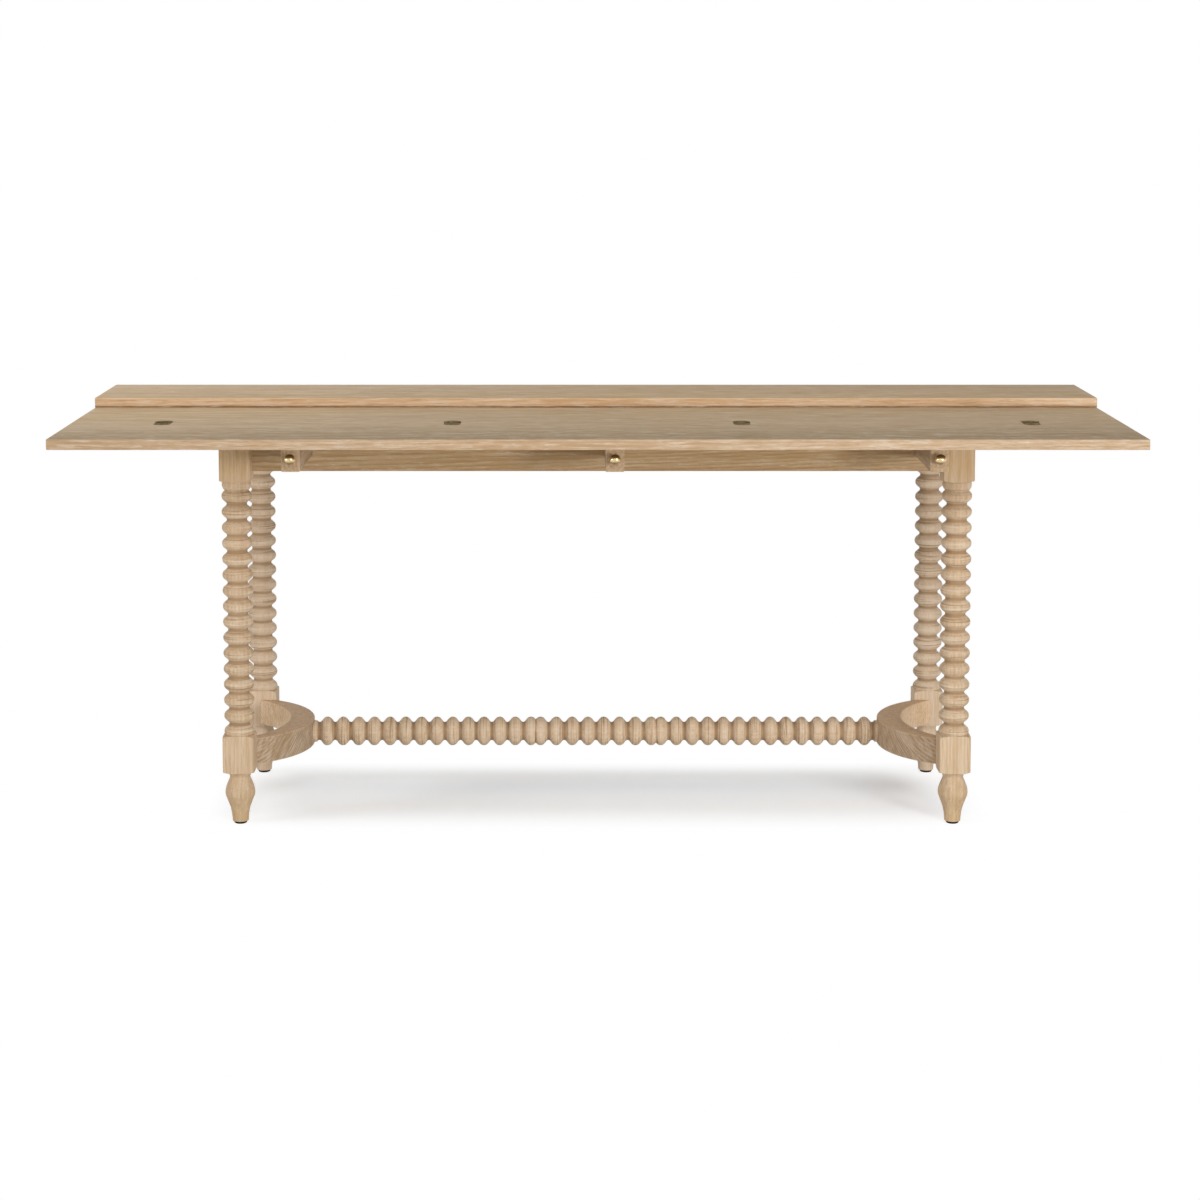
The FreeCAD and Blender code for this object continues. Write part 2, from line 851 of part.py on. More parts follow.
def hinge_pin(hinge_x):
    """The pin that a hinge turns on."""
    base = Vector(hinge_x - hinge_width / 2, hinge_axis.y, hinge_axis.z)
    return rod(hinge_pin_radius, hinge_width, base, along_x)


# Top

def wood_screw(length, clearance):
    """A wood screw of the frame, or its space."""
    return countersunk_screw(screw_head, screw_head_depth, screw_shank, length, clearance)


def panel_screw_places():
    """Where the raised panel is screwed on from under the board."""
    first_y = step_front + panel_screw_inset
    row_step = (strip_depth - 2 * panel_screw_inset) / (panel_screw_row_count - 1)
    return [
        Vector(half_length * share, first_y + row_step * row, frame_top)
        for share in panel_screw_place_shares
        for row in range(panel_screw_row_count)
    ]


def drilled(solid, length, places):
    """A piece with the spaces of wood screws that come up from below."""
    spaces = [placed(wood_screw(length, fit_clearance), place, True) for place in places]
    return solid.cut(spaces)


def on_outside(middle, long_edge):
    """Whether an edge's middle lies on the top's ends or on a long outer edge."""
    at_end = abs(abs(middle.x) - half_length) < edge_round
    return at_end or abs(middle.y - long_edge) < edge_round


def fixed_board():
    """The lower board of the top, under the middle strip and the raised panel."""
    low = Vector(-half_length, closed_front + joint_gap / 2, frame_top)
    high = Vector(half_length, closed_back, board_top)
    solid = ease(
        block(low, high),
        edge_round,
        lambda middle: middle.z < frame_top + edge_round and on_outside(middle, closed_back),
    )
    recesses = [cut for place in hinge_places.values() for cut in hinge_recess(1, place)]
    solid = solid.cut(recesses).cut(hinge_screw_spaces(1))
    solid = drilled(solid, button_screw_length, button_screw_places())
    return drilled(solid, panel_screw_length, panel_screw_places())


def raised_panel():
    """The raised rear panel, level with the folded leaf."""
    low = Vector(-half_length, step_front + joint_gap / 2, board_top)
    high = Vector(half_length, closed_back, table_height)
    solid = ease(
        block(low, high),
        edge_round,
        lambda middle: middle.z > table_height - edge_round,
    )
    return drilled(solid, panel_screw_length, panel_screw_places())


def flip_leaf():
    """The front leaf, open."""
    low = Vector(-half_length, open_front, frame_top)
    high = Vector(half_length, closed_front - joint_gap / 2, board_top)
    solid = ease(
        block(low, high),
        edge_round,
        lambda middle: on_outside(middle, open_front) and middle.y < closed_front - strip_depth / 4,
    )
    recesses = [cut for place in hinge_places.values() for cut in hinge_recess(-1, place)]
    return solid.cut(recesses).cut(hinge_screw_spaces(-1))


# Top buttons

def button_rows():
    """The inner faces of the long aprons, with the way from each into the frame."""
    return [(front_apron_back, 1), (rear_apron_front, -1)]


def button_solid(share, face, way, grow):
    """A wooden button under the top, or the mortise of its tongue when grown."""
    middle = leg_x * share
    half = button_width / 2
    bottom = frame_top - button_height
    depths = sorted((face - way * button_tongue, face))
    low = Vector(middle - half - grow, depths[0] - grow, bottom - grow)
    high = Vector(middle + half + grow, depths[1], bottom + button_tongue_depth + grow)
    tongue = block(low, high)
    if grow:
        return tongue
    reach = sorted((face, face + way * button_depth))
    body = block(Vector(middle - half, reach[0], bottom), Vector(middle + half, reach[1], frame_top))
    return body.fuse(tongue).removeSplitter()


def button_screw_places():
    """Where the buttons are screwed up into the board."""
    return [
        Vector(leg_x * share, face + way * button_depth / 2, frame_top - button_height)
        for face, way in button_rows()
        for share in button_place_shares
    ]


def top_buttons():
    """All the wooden buttons."""
    return [
        drilled(button_solid(share, face, way, 0.0), button_screw_length, button_screw_places())
        for face, way in button_rows()
        for share in button_place_shares
    ]


def button_mortises(row):
    """The mortises of the buttons' tongues in one long apron."""
    face, way = button_rows()[row]
    return [button_solid(share, face, way, fit_clearance) for share in button_place_shares]


# All pieces under their names

def leg_at(place, mortises):
    """A leg at its place with the mortises that fall in it."""
    return placed(whole_leg(), place).cut(mortises)


def all_mortises():
    """Mortises of every tenon that enters a leg."""
    mortises = []
    for apron_front in (front_apron_face, rear_apron_front):
        mortises.extend(long_apron_tenons(apron_front, fit_clearance))
    for side in (-1, 1):
        mortises.extend(end_apron_tenons(side, fit_clearance))
        mortises.extend(crescent_tenons(side, fit_clearance))
    return mortises


def frame_pieces():
    """Legs, glides, aprons and stretchers."""
    mortises = all_mortises()
    pieces = {}
    for name, place in leg_places.items():
        pieces[name + "_leg"] = leg_at(place, mortises)
        pieces[name + "_glide"] = placed(glide(), place)
    front = long_apron(front_apron_face).cut(loper_notches())
    pieces["front_apron"] = front.cut(button_mortises(0))
    pieces["rear_apron"] = long_apron(rear_apron_front).cut(button_mortises(1))
    outer = stretcher_outer_section()
    for name, side in (("left", -1), ("right", 1)):
        pieces[name + "_end_apron"] = end_apron(side)
        pieces[name + "_crescent_stretcher"] = crescent(side)
        pieces["stretcher_" + name + "_section"] = laid_along(outer, side)
    pieces["stretcher_middle_section"] = laid_along(stretcher_middle_section(), 1)
    pieces["stretcher_dowels"] = Part.makeCompound(stretcher_dowels())
    return pieces


def loper_pieces():
    """Lopers with their knobs and pins, and the channels that they run in."""
    pieces = {}
    screws = []
    for name, bearer_x in channel_places.items():
        places = keeper_screw_places(bearer_x)
        pieces[name + "_loper"] = loper(bearer_x)
        pieces[name + "_loper_knob"] = knob(bearer_x)
        pieces[name + "_loper_stop_pin"] = stop_pin(bearer_x)
        pieces[name + "_bearer"] = drilled(bearer(bearer_x), keeper_screw_length, places)
        pieces[name + "_guide_cleat"] = drilled(cleat(bearer_x), keeper_screw_length, places)
        pieces[name + "_keeper"] = drilled(keeper(bearer_x), keeper_screw_length, places)
        screws.extend(placed(wood_screw(keeper_screw_length, 0.0), spot, True) for spot in places)
    pieces["keeper_screws"] = Part.makeCompound(screws)
    return pieces


def top_pieces():
    """Boards of the top, hinges, and what holds the top down."""
    pieces = {"fixed_board": fixed_board(), "raised_panel": raised_panel(), "flip_leaf": flip_leaf()}
    for name, hinge_x in hinge_places.items():
        pieces[name + "_hinge_board_plate"] = hinge_plate(1, hinge_x)
        pieces[name + "_hinge_leaf_plate"] = hinge_plate(-1, hinge_x)
        pieces[name + "_hinge_pin"] = hinge_pin(hinge_x)
    for name, side in (("board", 1), ("leaf", -1)):
        screws = [placed(hinge_screw(0.0), place) for place in hinge_screw_places(side)]
        pieces["hinge_" + name + "_screws"] = Part.makeCompound(screws)
    pieces["panel_screws"] = Part.makeCompound(
        [placed(wood_screw(panel_screw_length, 0.0), place, True) for place in panel_screw_places()]
    )
    pieces["top_buttons"] = Part.makeCompound(top_buttons())
    pieces["button_screws"] = Part.makeCompound(
        [placed(wood_screw(button_screw_length, 0.0), place, True) for place in button_screw_places()]
    )
    return pieces


os.makedirs("parts", exist_ok=True)
for pieces in (frame_pieces(), loper_pieces(), top_pieces()):
    for name, shape in pieces.items():
        shape.exportStep("parts/" + name + ".step")
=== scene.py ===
import math

import bpy
from bpy.props import FloatProperty, FloatVectorProperty, IntProperty, PointerProperty
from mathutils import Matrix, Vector


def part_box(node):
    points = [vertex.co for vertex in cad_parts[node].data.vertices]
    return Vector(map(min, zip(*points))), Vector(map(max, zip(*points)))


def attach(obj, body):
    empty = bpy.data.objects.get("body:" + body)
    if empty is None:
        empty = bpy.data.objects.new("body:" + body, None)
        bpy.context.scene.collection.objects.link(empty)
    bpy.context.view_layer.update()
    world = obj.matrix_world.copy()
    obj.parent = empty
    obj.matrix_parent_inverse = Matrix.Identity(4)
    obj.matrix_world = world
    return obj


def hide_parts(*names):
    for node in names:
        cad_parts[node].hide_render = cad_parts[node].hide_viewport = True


bl_info = {
    "name": "Flip-top table",
    "version": (1, 0, 0),
    "blender": (4, 5, 0),
    "location": "View3D > Sidebar > Table",
    "description": "Turnings, stretchers, hinges, finishes and stage of a flip-top table in limed oak",
    "category": "Object",
}

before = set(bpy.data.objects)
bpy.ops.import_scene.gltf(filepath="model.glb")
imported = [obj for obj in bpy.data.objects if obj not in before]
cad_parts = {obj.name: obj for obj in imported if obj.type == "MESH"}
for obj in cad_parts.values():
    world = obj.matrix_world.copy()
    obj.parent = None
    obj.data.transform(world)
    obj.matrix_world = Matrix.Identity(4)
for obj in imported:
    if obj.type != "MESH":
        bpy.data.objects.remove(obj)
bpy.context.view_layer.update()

LEGS = ("front_left", "front_right", "rear_left", "rear_right")
HINGES = ("outer_left", "inner_left", "inner_right", "outer_right")
LOPERS = ("left", "centre", "right")
TOP_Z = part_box("fixed_board")[1].z
FRAME_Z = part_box("fixed_board")[0].z
# Edges that bend less than this are shaded smooth and aren't eased
FLAT_ANGLE = math.radians(32)
# Faces whose direction has at least this share along an axis are square to it
SQUARE_SHARE = 0.98
# Vertices this close are merged, and heights this close are the same
MERGE_REACH = 1e-6
TOLERANCE = 1e-5
WHITE = (1.0, 1.0, 1.0, 1.0)

# Steps of the arcs in the outlines and of small round pieces
CREST_STEPS = 8
NECK_STEPS = 6
COLLAR_STEPS = 12
FOOT_STEPS = 5
SHOULDER_STEPS = 6
RIM_STEPS = 6
COVE_STEPS = 6
BALL_STEPS = 30
OVAL_STEPS = 80
SMALL_STEPS = 40
PIN_STEPS = 24


def length(name, default, description):
    """A length of a piece, in metres."""
    return FloatProperty(name=name, description=description, default=default, unit="LENGTH", precision=4)


def count(name, default, description):
    """A whole number."""
    return IntProperty(name=name, description=description, default=default)


def share(name, default, description):
    """A plain share or strength."""
    return FloatProperty(name=name, description=description, default=default, subtype="FACTOR", soft_max=1.0)


def power(name, default, description):
    """Watts of a light."""
    return FloatProperty(name=name, description=description, default=default, unit="POWER")


def tone(name, default, description):
    """A colour of a finish."""
    return FloatVectorProperty(
        name=name, description=description, default=default, subtype="COLOR", size=3, min=0.0, max=1.0
    )


class TurningSizes(bpy.types.PropertyGroup):
    """Sizes of the bobbin turnings"""

    steps: count("Steps", 64, "Steps of a full turn")
    leg_crest: length("Leg crest", 0.0275, "Radius over the crests of a leg")
    leg_neck: length("Leg neck", 0.0182, "Radius in the necks of a leg")
    leg_crests: count("Leg crests", 16, "Crests of a leg")
    lowest_sink: length("Lowest sink", 0.0046, "Lowest crest's middle above the lower block")
    top_drop: length("Top drop", 0.0277, "Top crest's middle below the upper block")
    block: length("Block", 0.056, "Width of the square blocks")
    upper_block: length("Upper block", 0.0925, "Height of the upper block")
    lower_block: length("Lower block", 0.0704, "Height of the lower block")
    shoulder: length("Shoulder", 0.0175, "Radius of the turned shoulders of the blocks")
    block_ease: length("Block ease", 0.0012, "Rounding of the blocks' upright edges")
    collar: length("Collar", 0.0266, "Radius of the collar under the upper block")
    collar_neck: length("Collar neck", 0.021, "Radius of the groove under the collar")
    collar_sink: length("Collar sink", 0.005, "How far the collar reaches into the upper block")
    foot: length("Foot", 0.092, "Height of the vase foot")
    bulb: length("Bulb", 0.027, "Radius of the foot's bulb")
    neck_share: share("Neck share", 0.3, "Share of the neck in the arcs of a bobbin")
    flank_share: share("Flank share", 0.52, "Steepness of the flanks between crest and neck")
    stretcher_crest: length("Stretcher crest", 0.027, "Radius over the crests of the stretcher")
    stretcher_neck: length("Stretcher neck", 0.017, "Radius in the necks of the stretcher")
    stretcher_pitch: length("Stretcher pitch", 0.03, "Distance of crests in the middle section")
    stretcher_cut: length("Stretcher cut", 0.009, "Where a crest is cut flat, from its middle")
    middle_crests: count("Middle crests", 8, "Crests of the middle section")
    outer_crests: count("Outer crests", 14, "Crests of an outer section")
    end_run: length("End run", 0.01, "From the last neck to the crescent")
    end_collar: length("End collar", 0.0203, "Radius of the stretcher's end collars")
    seat: length("Seat", 0.0013, "How deep an end collar sits in the crescent")
    glide: length("Glide", 0.012, "Radius of a floor glide")
    glide_round: length("Glide round", 0.003, "Rounding of a floor glide")


class CrescentSizes(bpy.types.PropertyGroup):
    """Sizes of the crescent stretchers"""

    apex: length("Apex", 0.534, "Distance of the outer apex from the table's middle")
    apex_width: length("Apex width", 0.046, "Width at the apex")
    end_width: length("End width", 0.032, "Width at the leg blocks")
    ease: length("Ease", 0.0018, "Rounding of the edges")
    steps: count("Steps", 56, "Steps of an arc")


class HingeSizes(bpy.types.PropertyGroup):
    """Sizes of the oval hinges"""

    width: length("Width", 0.03, "Width of the oval")
    half_length: length("Half length", 0.033, "From the pin to the oval's tip")
    thickness: length("Thickness", 0.003, "Thickness of the plates")
    joint: length("Joint", 0.0008, "Gap between the two plates")
    knuckle: length("Knuckle", 0.0024, "Radius of the knuckles")
    relief: length("Relief", 0.0003, "Room round the other plate's knuckles")
    pin: length("Pin", 0.0012, "Radius of the pin")
    screw_near: length("Near screw", 0.0105, "From the pin to the near screw")
    screw_far: length("Far screw", 0.0225, "From the pin to the far screw")
    screw_head: length("Screw head", 0.003, "Radius of a screw's head")
    screw_sink: length("Screw sink", 0.0002, "Screw's head below the plate")
    slot_width: length("Slot width", 0.0008, "Width of a screw's slot")
    edge: length("Edge", 0.0004, "Bevel along the plates' edges")


class KnobSizes(bpy.types.PropertyGroup):
    """Sizes of the ball knobs"""

    ball: length("Ball", 0.0092, "Radius of the ball")
    neck: length("Neck", 0.0036, "Radius of the neck")
    neck_length: length("Neck length", 0.004, "Length of the neck")
    base: length("Base", 0.0065, "Radius of the base")
    base_height: length("Base height", 0.0014, "Height of the base")


class FinishTones(bpy.types.PropertyGroup):
    """Colours of the finishes"""

    pale: tone("Pale oak", (0.72, 0.535, 0.36), "Pale wood between the rings")
    warm: tone("Warm oak", (0.585, 0.40, 0.235), "Warm wood of the rings")
    # Also the painted shade in the necks and along the panel's seam
    dark: tone("Dark oak", (0.37, 0.235, 0.125), "Dark lines and necks")
    grey: tone("Grey oak", (0.53, 0.385, 0.20), "Greyed wood of the top's faces")
    lime: tone("Lime", (0.78, 0.68, 0.55), "Lime left in the pores")
    brass: tone("Brass", (0.78, 0.585, 0.31), "Polished brass")
    # Also the painted dark reflections on the ball knobs
    aged: tone("Aged brass", (0.125, 0.085, 0.035), "Dark patina of the hinges")
    worn: tone("Worn brass", (0.40, 0.30, 0.15), "Brass where the patina is rubbed thin")
    steel: tone("Steel", (0.56, 0.56, 0.57), "Hidden screws")
    dull: tone("Dull steel", (0.30, 0.30, 0.31), "Clouds on the hidden screws")
    glide: tone("Glide", (0.02, 0.016, 0.014), "Dark floor glides")
    scuff: tone("Scuff", (0.07, 0.05, 0.035), "Scuffs on the floor glides")
    floor: tone("Floor", (0.86, 0.86, 0.86), "Floor")
    speck: tone("Speck", (0.78, 0.78, 0.78), "Faint specks on the floor")


class StageSizes(bpy.types.PropertyGroup):
    """Camera, lights and floor"""

    lens: FloatProperty(name="Lens", description="Focal length in millimetres", default=78.48, unit="CAMERA")
    pitch: FloatProperty(
        name="Pitch", description="Camera's tilt below the horizon", default=math.radians(5.62),
        subtype="ANGLE",
    )
    shift_x: FloatProperty(name="Shift X", description="Sideways shift of the frame", default=0.02)
    shift_y: FloatProperty(name="Shift Y", description="Upright shift of the frame", default=-0.205)
    camera_place: FloatVectorProperty(
        name="Camera place", description="Where the camera stands", default=(-0.0376, -4.7573, 1.3242),
        subtype="XYZ",
    )
    world_light: share("World light", 0.158, "Even light from all round")
    key_power: power("Key power", 172.0, "Watts of the key light")
    fill_power: power("Fill power", 92.0, "Watts of the fill light")
    front_power: power("Front power", 80.0, "Watts of the high front light")
    rear_power: power("Rear power", 12.0, "Watts of the light behind")
    top_power: power("Top power", 31.0, "Watts of the overhead light")
    floor_gain: FloatProperty(name="Floor gain", description="Whiter floor to the camera", default=2.1)


# Tools of the bench

def in_hand():
    """The active piece."""
    return bpy.context.view_layer.objects.active


def throw_away(piece):
    """Remove a piece that has served its turn."""
    bpy.data.objects.remove(piece, do_unlink=True)


def middle_of(node):
    """The middle of a node's box."""
    low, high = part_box(node)
    return (low + high) / 2


def put_down():
    """Leave edit mode and select nothing."""
    active = in_hand()
    if active and active.mode != "OBJECT":
        bpy.ops.object.mode_set(mode="OBJECT")
    bpy.ops.object.select_all(action="DESELECT")


def pick_up(*pieces):
    """Select only these pieces, the first of them active."""
    put_down()
    for piece in pieces:
        piece.select_set(True)
    bpy.context.view_layer.objects.active = pieces[0]


def edit(piece, mode="VERT"):
    """Go into edit mode on one piece with all of it selected."""
    pick_up(piece)
    bpy.ops.object.mode_set(mode="EDIT")
    bpy.ops.mesh.select_mode(type=mode)
    bpy.ops.mesh.select_all(action="SELECT")


def close_up(piece):
    """Merge doubles and turn the faces outwards."""
    edit(piece)
    bpy.ops.mesh.remove_doubles(threshold=MERGE_REACH)
    bpy.ops.mesh.normals_make_consistent(inside=False)
    put_down()


def choose_faces(piece, wanted):
    """Select the faces that meet a test and go into edit mode on them."""
    edit(piece, "FACE")
    bpy.ops.mesh.select_all(action="DESELECT")
    bpy.ops.object.mode_set(mode="OBJECT")
    for face in piece.data.polygons:
        face.select = wanted(face)
    bpy.ops.object.mode_set(mode="EDIT")


def lone_vertex(place):
    """A plane merged to one vertex at a place, in edit mode."""
    put_down()
    bpy.ops.mesh.primitive_plane_add(size=1.0, location=(0, 0, 0))
    piece = in_hand()
    edit(piece)
    bpy.ops.mesh.merge(type="CENTER")
    bpy.ops.transform.translate(value=place)
    return piece


def turned(outline, steps):
    """Draw an outline of radii and heights as a chain of vertices and spin it round the Z axis."""
    piece = lone_vertex((outline[0][0], 0, outline[0][1]))
    for start, end in zip(outline, outline[1:]):
        step = (end[0] - start[0], 0, end[1] - start[1])
        bpy.ops.mesh.extrude_vertices_move(TRANSFORM_OT_translate={"value": step})
    bpy.ops.mesh.select_all(action="SELECT")
    bpy.ops.mesh.spin(steps=steps, angle=math.tau, center=(0, 0, 0), axis=(0, 0, 1))
    close_up(piece)
    return piece


def settle(piece, place=(0, 0, 0), turn=(0, 0, 0)):
    """Turn and move a piece and put its place into its mesh."""
    pick_up(piece)
    piece.rotation_euler = turn
    piece.location = place
    bpy.ops.object.transform_apply(location=True, rotation=True, scale=True)
    return piece


def another(piece):
    """A copy of a piece with its own mesh."""
    pick_up(piece)
    bpy.ops.object.duplicate(linked=False)
    return in_hand()


def modify(piece, kind, **settings):
    """Put a modifier on a piece and apply it."""
    pick_up(piece)
    bpy.ops.object.modifier_add(type=kind)
    modifier = piece.modifiers[-1]
    for key, value in settings.items():
        setattr(modifier, key, value)
    bpy.ops.object.modifier_apply(modifier=modifier.name)


def work(piece, tool, operation):
    """Join, cut or trim a piece with a tool piece, which is used up."""
    modify(piece, "BOOLEAN", operation=operation, solver="EXACT", object=tool)
    throw_away(tool)


def ease(piece, width, segments=3):
    """Round the sharp edges of a piece."""
    modify(piece, "BEVEL", width=width, segments=segments, limit_method="ANGLE", angle_limit=FLAT_ANGLE)


def cube(low, high):
    """A block between two corners."""
    put_down()
    middle = (Vector(low) + Vector(high)) / 2
    bpy.ops.mesh.primitive_cube_add(size=1.0, location=middle)
    piece = in_hand()
    piece.scale = Vector(high) - Vector(low)
    return settle(piece, middle)


def rod(radius, depth, middle, turn=(0, 0, 0), steps=48):
    """A round rod about a middle point."""
    put_down()
    bpy.ops.mesh.primitive_cylinder_add(vertices=steps, radius=radius, depth=depth)
    return settle(in_hand(), middle, turn)


def hand_over(piece, name, material, body, slot, *nodes):
    """Name a finished piece, give it its finish and body, and let it stand for its nodes."""
    pick_up(piece)
    bpy.ops.object.shade_smooth_by_angle(angle=FLAT_ANGLE)
    piece.name = name
    piece.data.name = name
    piece.data.materials.clear()
    piece.data.materials.append(material)
    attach(piece, body)
    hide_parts(*nodes)
    return piece


def dress(material, *nodes):
    """Give CAD nodes a finish."""
    for node in nodes:
        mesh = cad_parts[node].data
        mesh.materials.clear()
        mesh.materials.append(material)


def mark_turning(piece, crest, neck, shows_lathe):
    """Note on every vertex whether it shows the lathe, and how deep it lies between crest and neck."""
    hollows = []
    rounds = []
    for vertex in piece.data.vertices:
        turned_here = shows_lathe(vertex.co)
        depth = (crest - math.hypot(vertex.co.x, vertex.co.y)) / (crest - neck)
        hollows.append(min(1.0, max(0.0, depth)) if turned_here else 0.0)
        rounds.append(float(turned_here))
    piece.data.attributes.new("hollow", "FLOAT", "POINT").data.foreach_set("value", hollows)
    piece.data.attributes.new("turned", "FLOAT", "POINT").data.foreach_set("value", rounds)


def mark_eased_faces(piece, bowed=False):
    """Note the narrow eased faces, which the finish makes lighter as wear and as a painted highlight along
    the edges.
    """
    worn = []
    for face in piece.data.polygons:
        x, y, z = (abs(part) for part in face.normal)
        square = max(math.hypot(x, y), z) if bowed else max(x, y, z)
        worn.append(float(square < SQUARE_SHARE))
    piece.data.attributes.new("worn", "FLOAT", "FACE").data.foreach_set("value", worn)


def timber(node, width):
    """A squared piece in a node's box, with its edges eased."""
    piece = cube(*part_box(node))
    ease(piece, width)
    return piece


# Outlines

def arc_points(centre, radius, start, end, steps, inward=False):
    """Points of an arc of an outline, bulging away from the axis or towards it."""
    side = -1 if inward else 1
    points = []
    for number in range(steps + 1):
        angle = start + (end - start) * number / steps
        points.append((centre[0] + side * radius * math.cos(angle), centre[1] + radius * math.sin(angle)))
    return points


def smooth_points(knots, steps):
    """Points of a smooth line through knots."""
    line = [knots[0], *knots, knots[-1]]
    points = []
    for before, start, end, after in zip(line, line[1:], line[2:], line[3:]):
        for number in range(steps):
            t = number / steps
            points.append(tuple(
                0.5 * (
                    2 * b + (c - a) * t
                    + (2 * a - 5 * b + 4 * c - d) * t ** 2
                    + (3 * b - a - 3 * c + d) * t ** 3
                )
                for a, b, c, d in zip(before, start, end, after)
            ))
    return points + [knots[-1]]


class Bobbins:
    """A row of round crests and necks with straight flanks between them."""

    def __init__(self, sizes, crest, neck, pitch):
        depth = crest - neck
        self.half = pitch / 2
        self.flank = math.atan2(depth, self.half) * (1 + sizes.flank_share)
        run = self.half * math.sin(self.flank) - depth * math.cos(self.flank)
        arcs = run / (1 - math.cos(self.flank))
        self.neck_arc = arcs * sizes.neck_share
        self.crest_arc = arcs - self.neck_arc
        self.crest = crest
        self.neck = neck
        self.reach = self.crest_arc * math.sin(self.flank)

    def side(self, height, rise):
        """A point on a crest or its flank, a rise above or below its middle."""
        near = min(abs(rise), self.reach)
        drop = self.crest_arc - math.sqrt(self.crest_arc ** 2 - near ** 2)
        drop += (abs(rise) - near) * math.tan(self.flank)
        return (self.crest - drop, height + rise)

    def angle(self, rise):
        """The angle of a crest's arc at a rise, up to its flank."""
        return math.asin(min(rise, self.reach) / self.crest_arc)

    def rise_to(self, radius):
        """How far above a crest its flank has come in to a radius."""
        bend = self.side(0, self.reach)[0]
        return self.reach + (bend - radius) / math.tan(self.flank)

    def over(self, height, low, high):
        """Points over a crest between two rises."""
        middle = (self.crest - self.crest_arc, height)
        points = arc_points(middle, self.crest_arc, -self.angle(low), self.angle(high), CREST_STEPS)
        if low > self.reach:
            points.insert(0, self.side(height, -low))
        if high > self.reach:
            points.append(self.side(height, high))
        return points

    def under(self, height):
        """Points through the neck above a crest."""
        middle = (self.neck + self.neck_arc, height + self.half)
        return arc_points(middle, self.neck_arc, -self.flank, self.flank, NECK_STEPS, True)

    def row(self, first, crests, low, high):
        """The outline of a row, from under its first crest to above its last."""
        points = []
        for number in range(crests):
            height = first + 2 * self.half * number
            last = number == crests - 1
            points += self.over(height, low if number == 0 else self.reach, high if last else self.reach)
            if not last:
                points += self.under(height)
        return points


# Heights and radii of the vase foot, as shares of its height and its bulb
FOOT_SHARES = (
    (0.000, 0.540),
    (0.120, 0.572),
    (0.270, 0.668),
    (0.410, 0.838),
    (0.520, 0.978),
    (0.600, 1.000),
    (0.690, 0.948),
    (0.800, 0.805),
    (0.885, 0.692),
    (0.950, 0.752),
    (1.000, 0.835),
)


# Finishes

# Turns in degrees that bring the direction of the grain to X
GRAIN_TURNS = {
    "X": (0, 0, 0),
    "Y": (0, 0, -90),
    "Z": (0, 90, 0),
    "left_slant": (0, 62, -35),
    "right_slant": (0, 118, -35),
}
# Patterns of the oak, in cells a metre along the grain and across it
WANDER = (1.6, 8.0, 8.0)
STREAK = (3.0, 110.0, 110.0)
FLECK = (22.0, 260.0, 260.0)
FIBRE = (26.0, 900.0, 900.0)
BROAD = (1.7, 5.0, 5.0)
PORE = (46.0, 1500.0, 1500.0)
LATHE_LINE = (340.0, 9.0, 9.0)
LATHE_BREAK = (160.0, 3.0, 3.0)
BAND = (5.0, 46.0, 46.0)
PATCH = (9.0, 22.0, 22.0)
RINGS = 150.0
HATCHES = 520.0
SWAY = 0.02
# What the finishes of the turned pieces, and those of the aprons, have in common
TURNED = {"figure": 0.4, "mottle": 0.5, "lathe": 1.3}
APRON = {"tilt": (0.05, 0.03), "tint": (0.77, 0.73, 0.59), "figure": 1.2, "mottle": 0.45}


class Nodes:
    """The nodes of a material or of the world."""

    def __init__(self, tree):
        self.tree = tree

    def feed(self, socket, value):
        """Link a socket, or set its value."""
        if isinstance(value, bpy.types.NodeSocket):
            self.tree.links.new(value, socket)
        else:
            socket.default_value = value

    def add(self, kind, inputs=(), **settings):
        """A node with its settings and its numbered or named inputs."""
        node = self.tree.nodes.new("ShaderNode" + kind)
        for key, value in settings.items():
            setattr(node, key, value)
        for key, value in dict(inputs).items():
            self.feed(node.inputs[key], value)
        return node

    def sum(self, operation, a, b=0.0, clamp=False):
        """One step of arithmetic."""
        return self.add("Math", {0: a, 1: b}, operation=operation, use_clamp=clamp).outputs[0]

    def times(self, a, b):
        """Two numbers multiplied."""
        return self.sum("MULTIPLY", a, b)

    def seen(self):
        """One for rays from the camera, a gloss or a glass, nothing for the rest."""
        rays = self.add("LightPath").outputs
        total = rays["Is Camera Ray"]
        for ray in ("Is Glossy Ray", "Is Transmission Ray"):
            total = self.sum("ADD", total, rays[ray], True)
        return total

    def whiten(self, amount, shader, white, output):
        """Blend a shader into a white one and lead both to the output."""
        blend = self.add("MixShader", {0: amount, 1: shader.outputs[0], 2: white.outputs[0]})
        self.feed(self.tree.nodes[output].inputs["Surface"], blend.outputs[0])


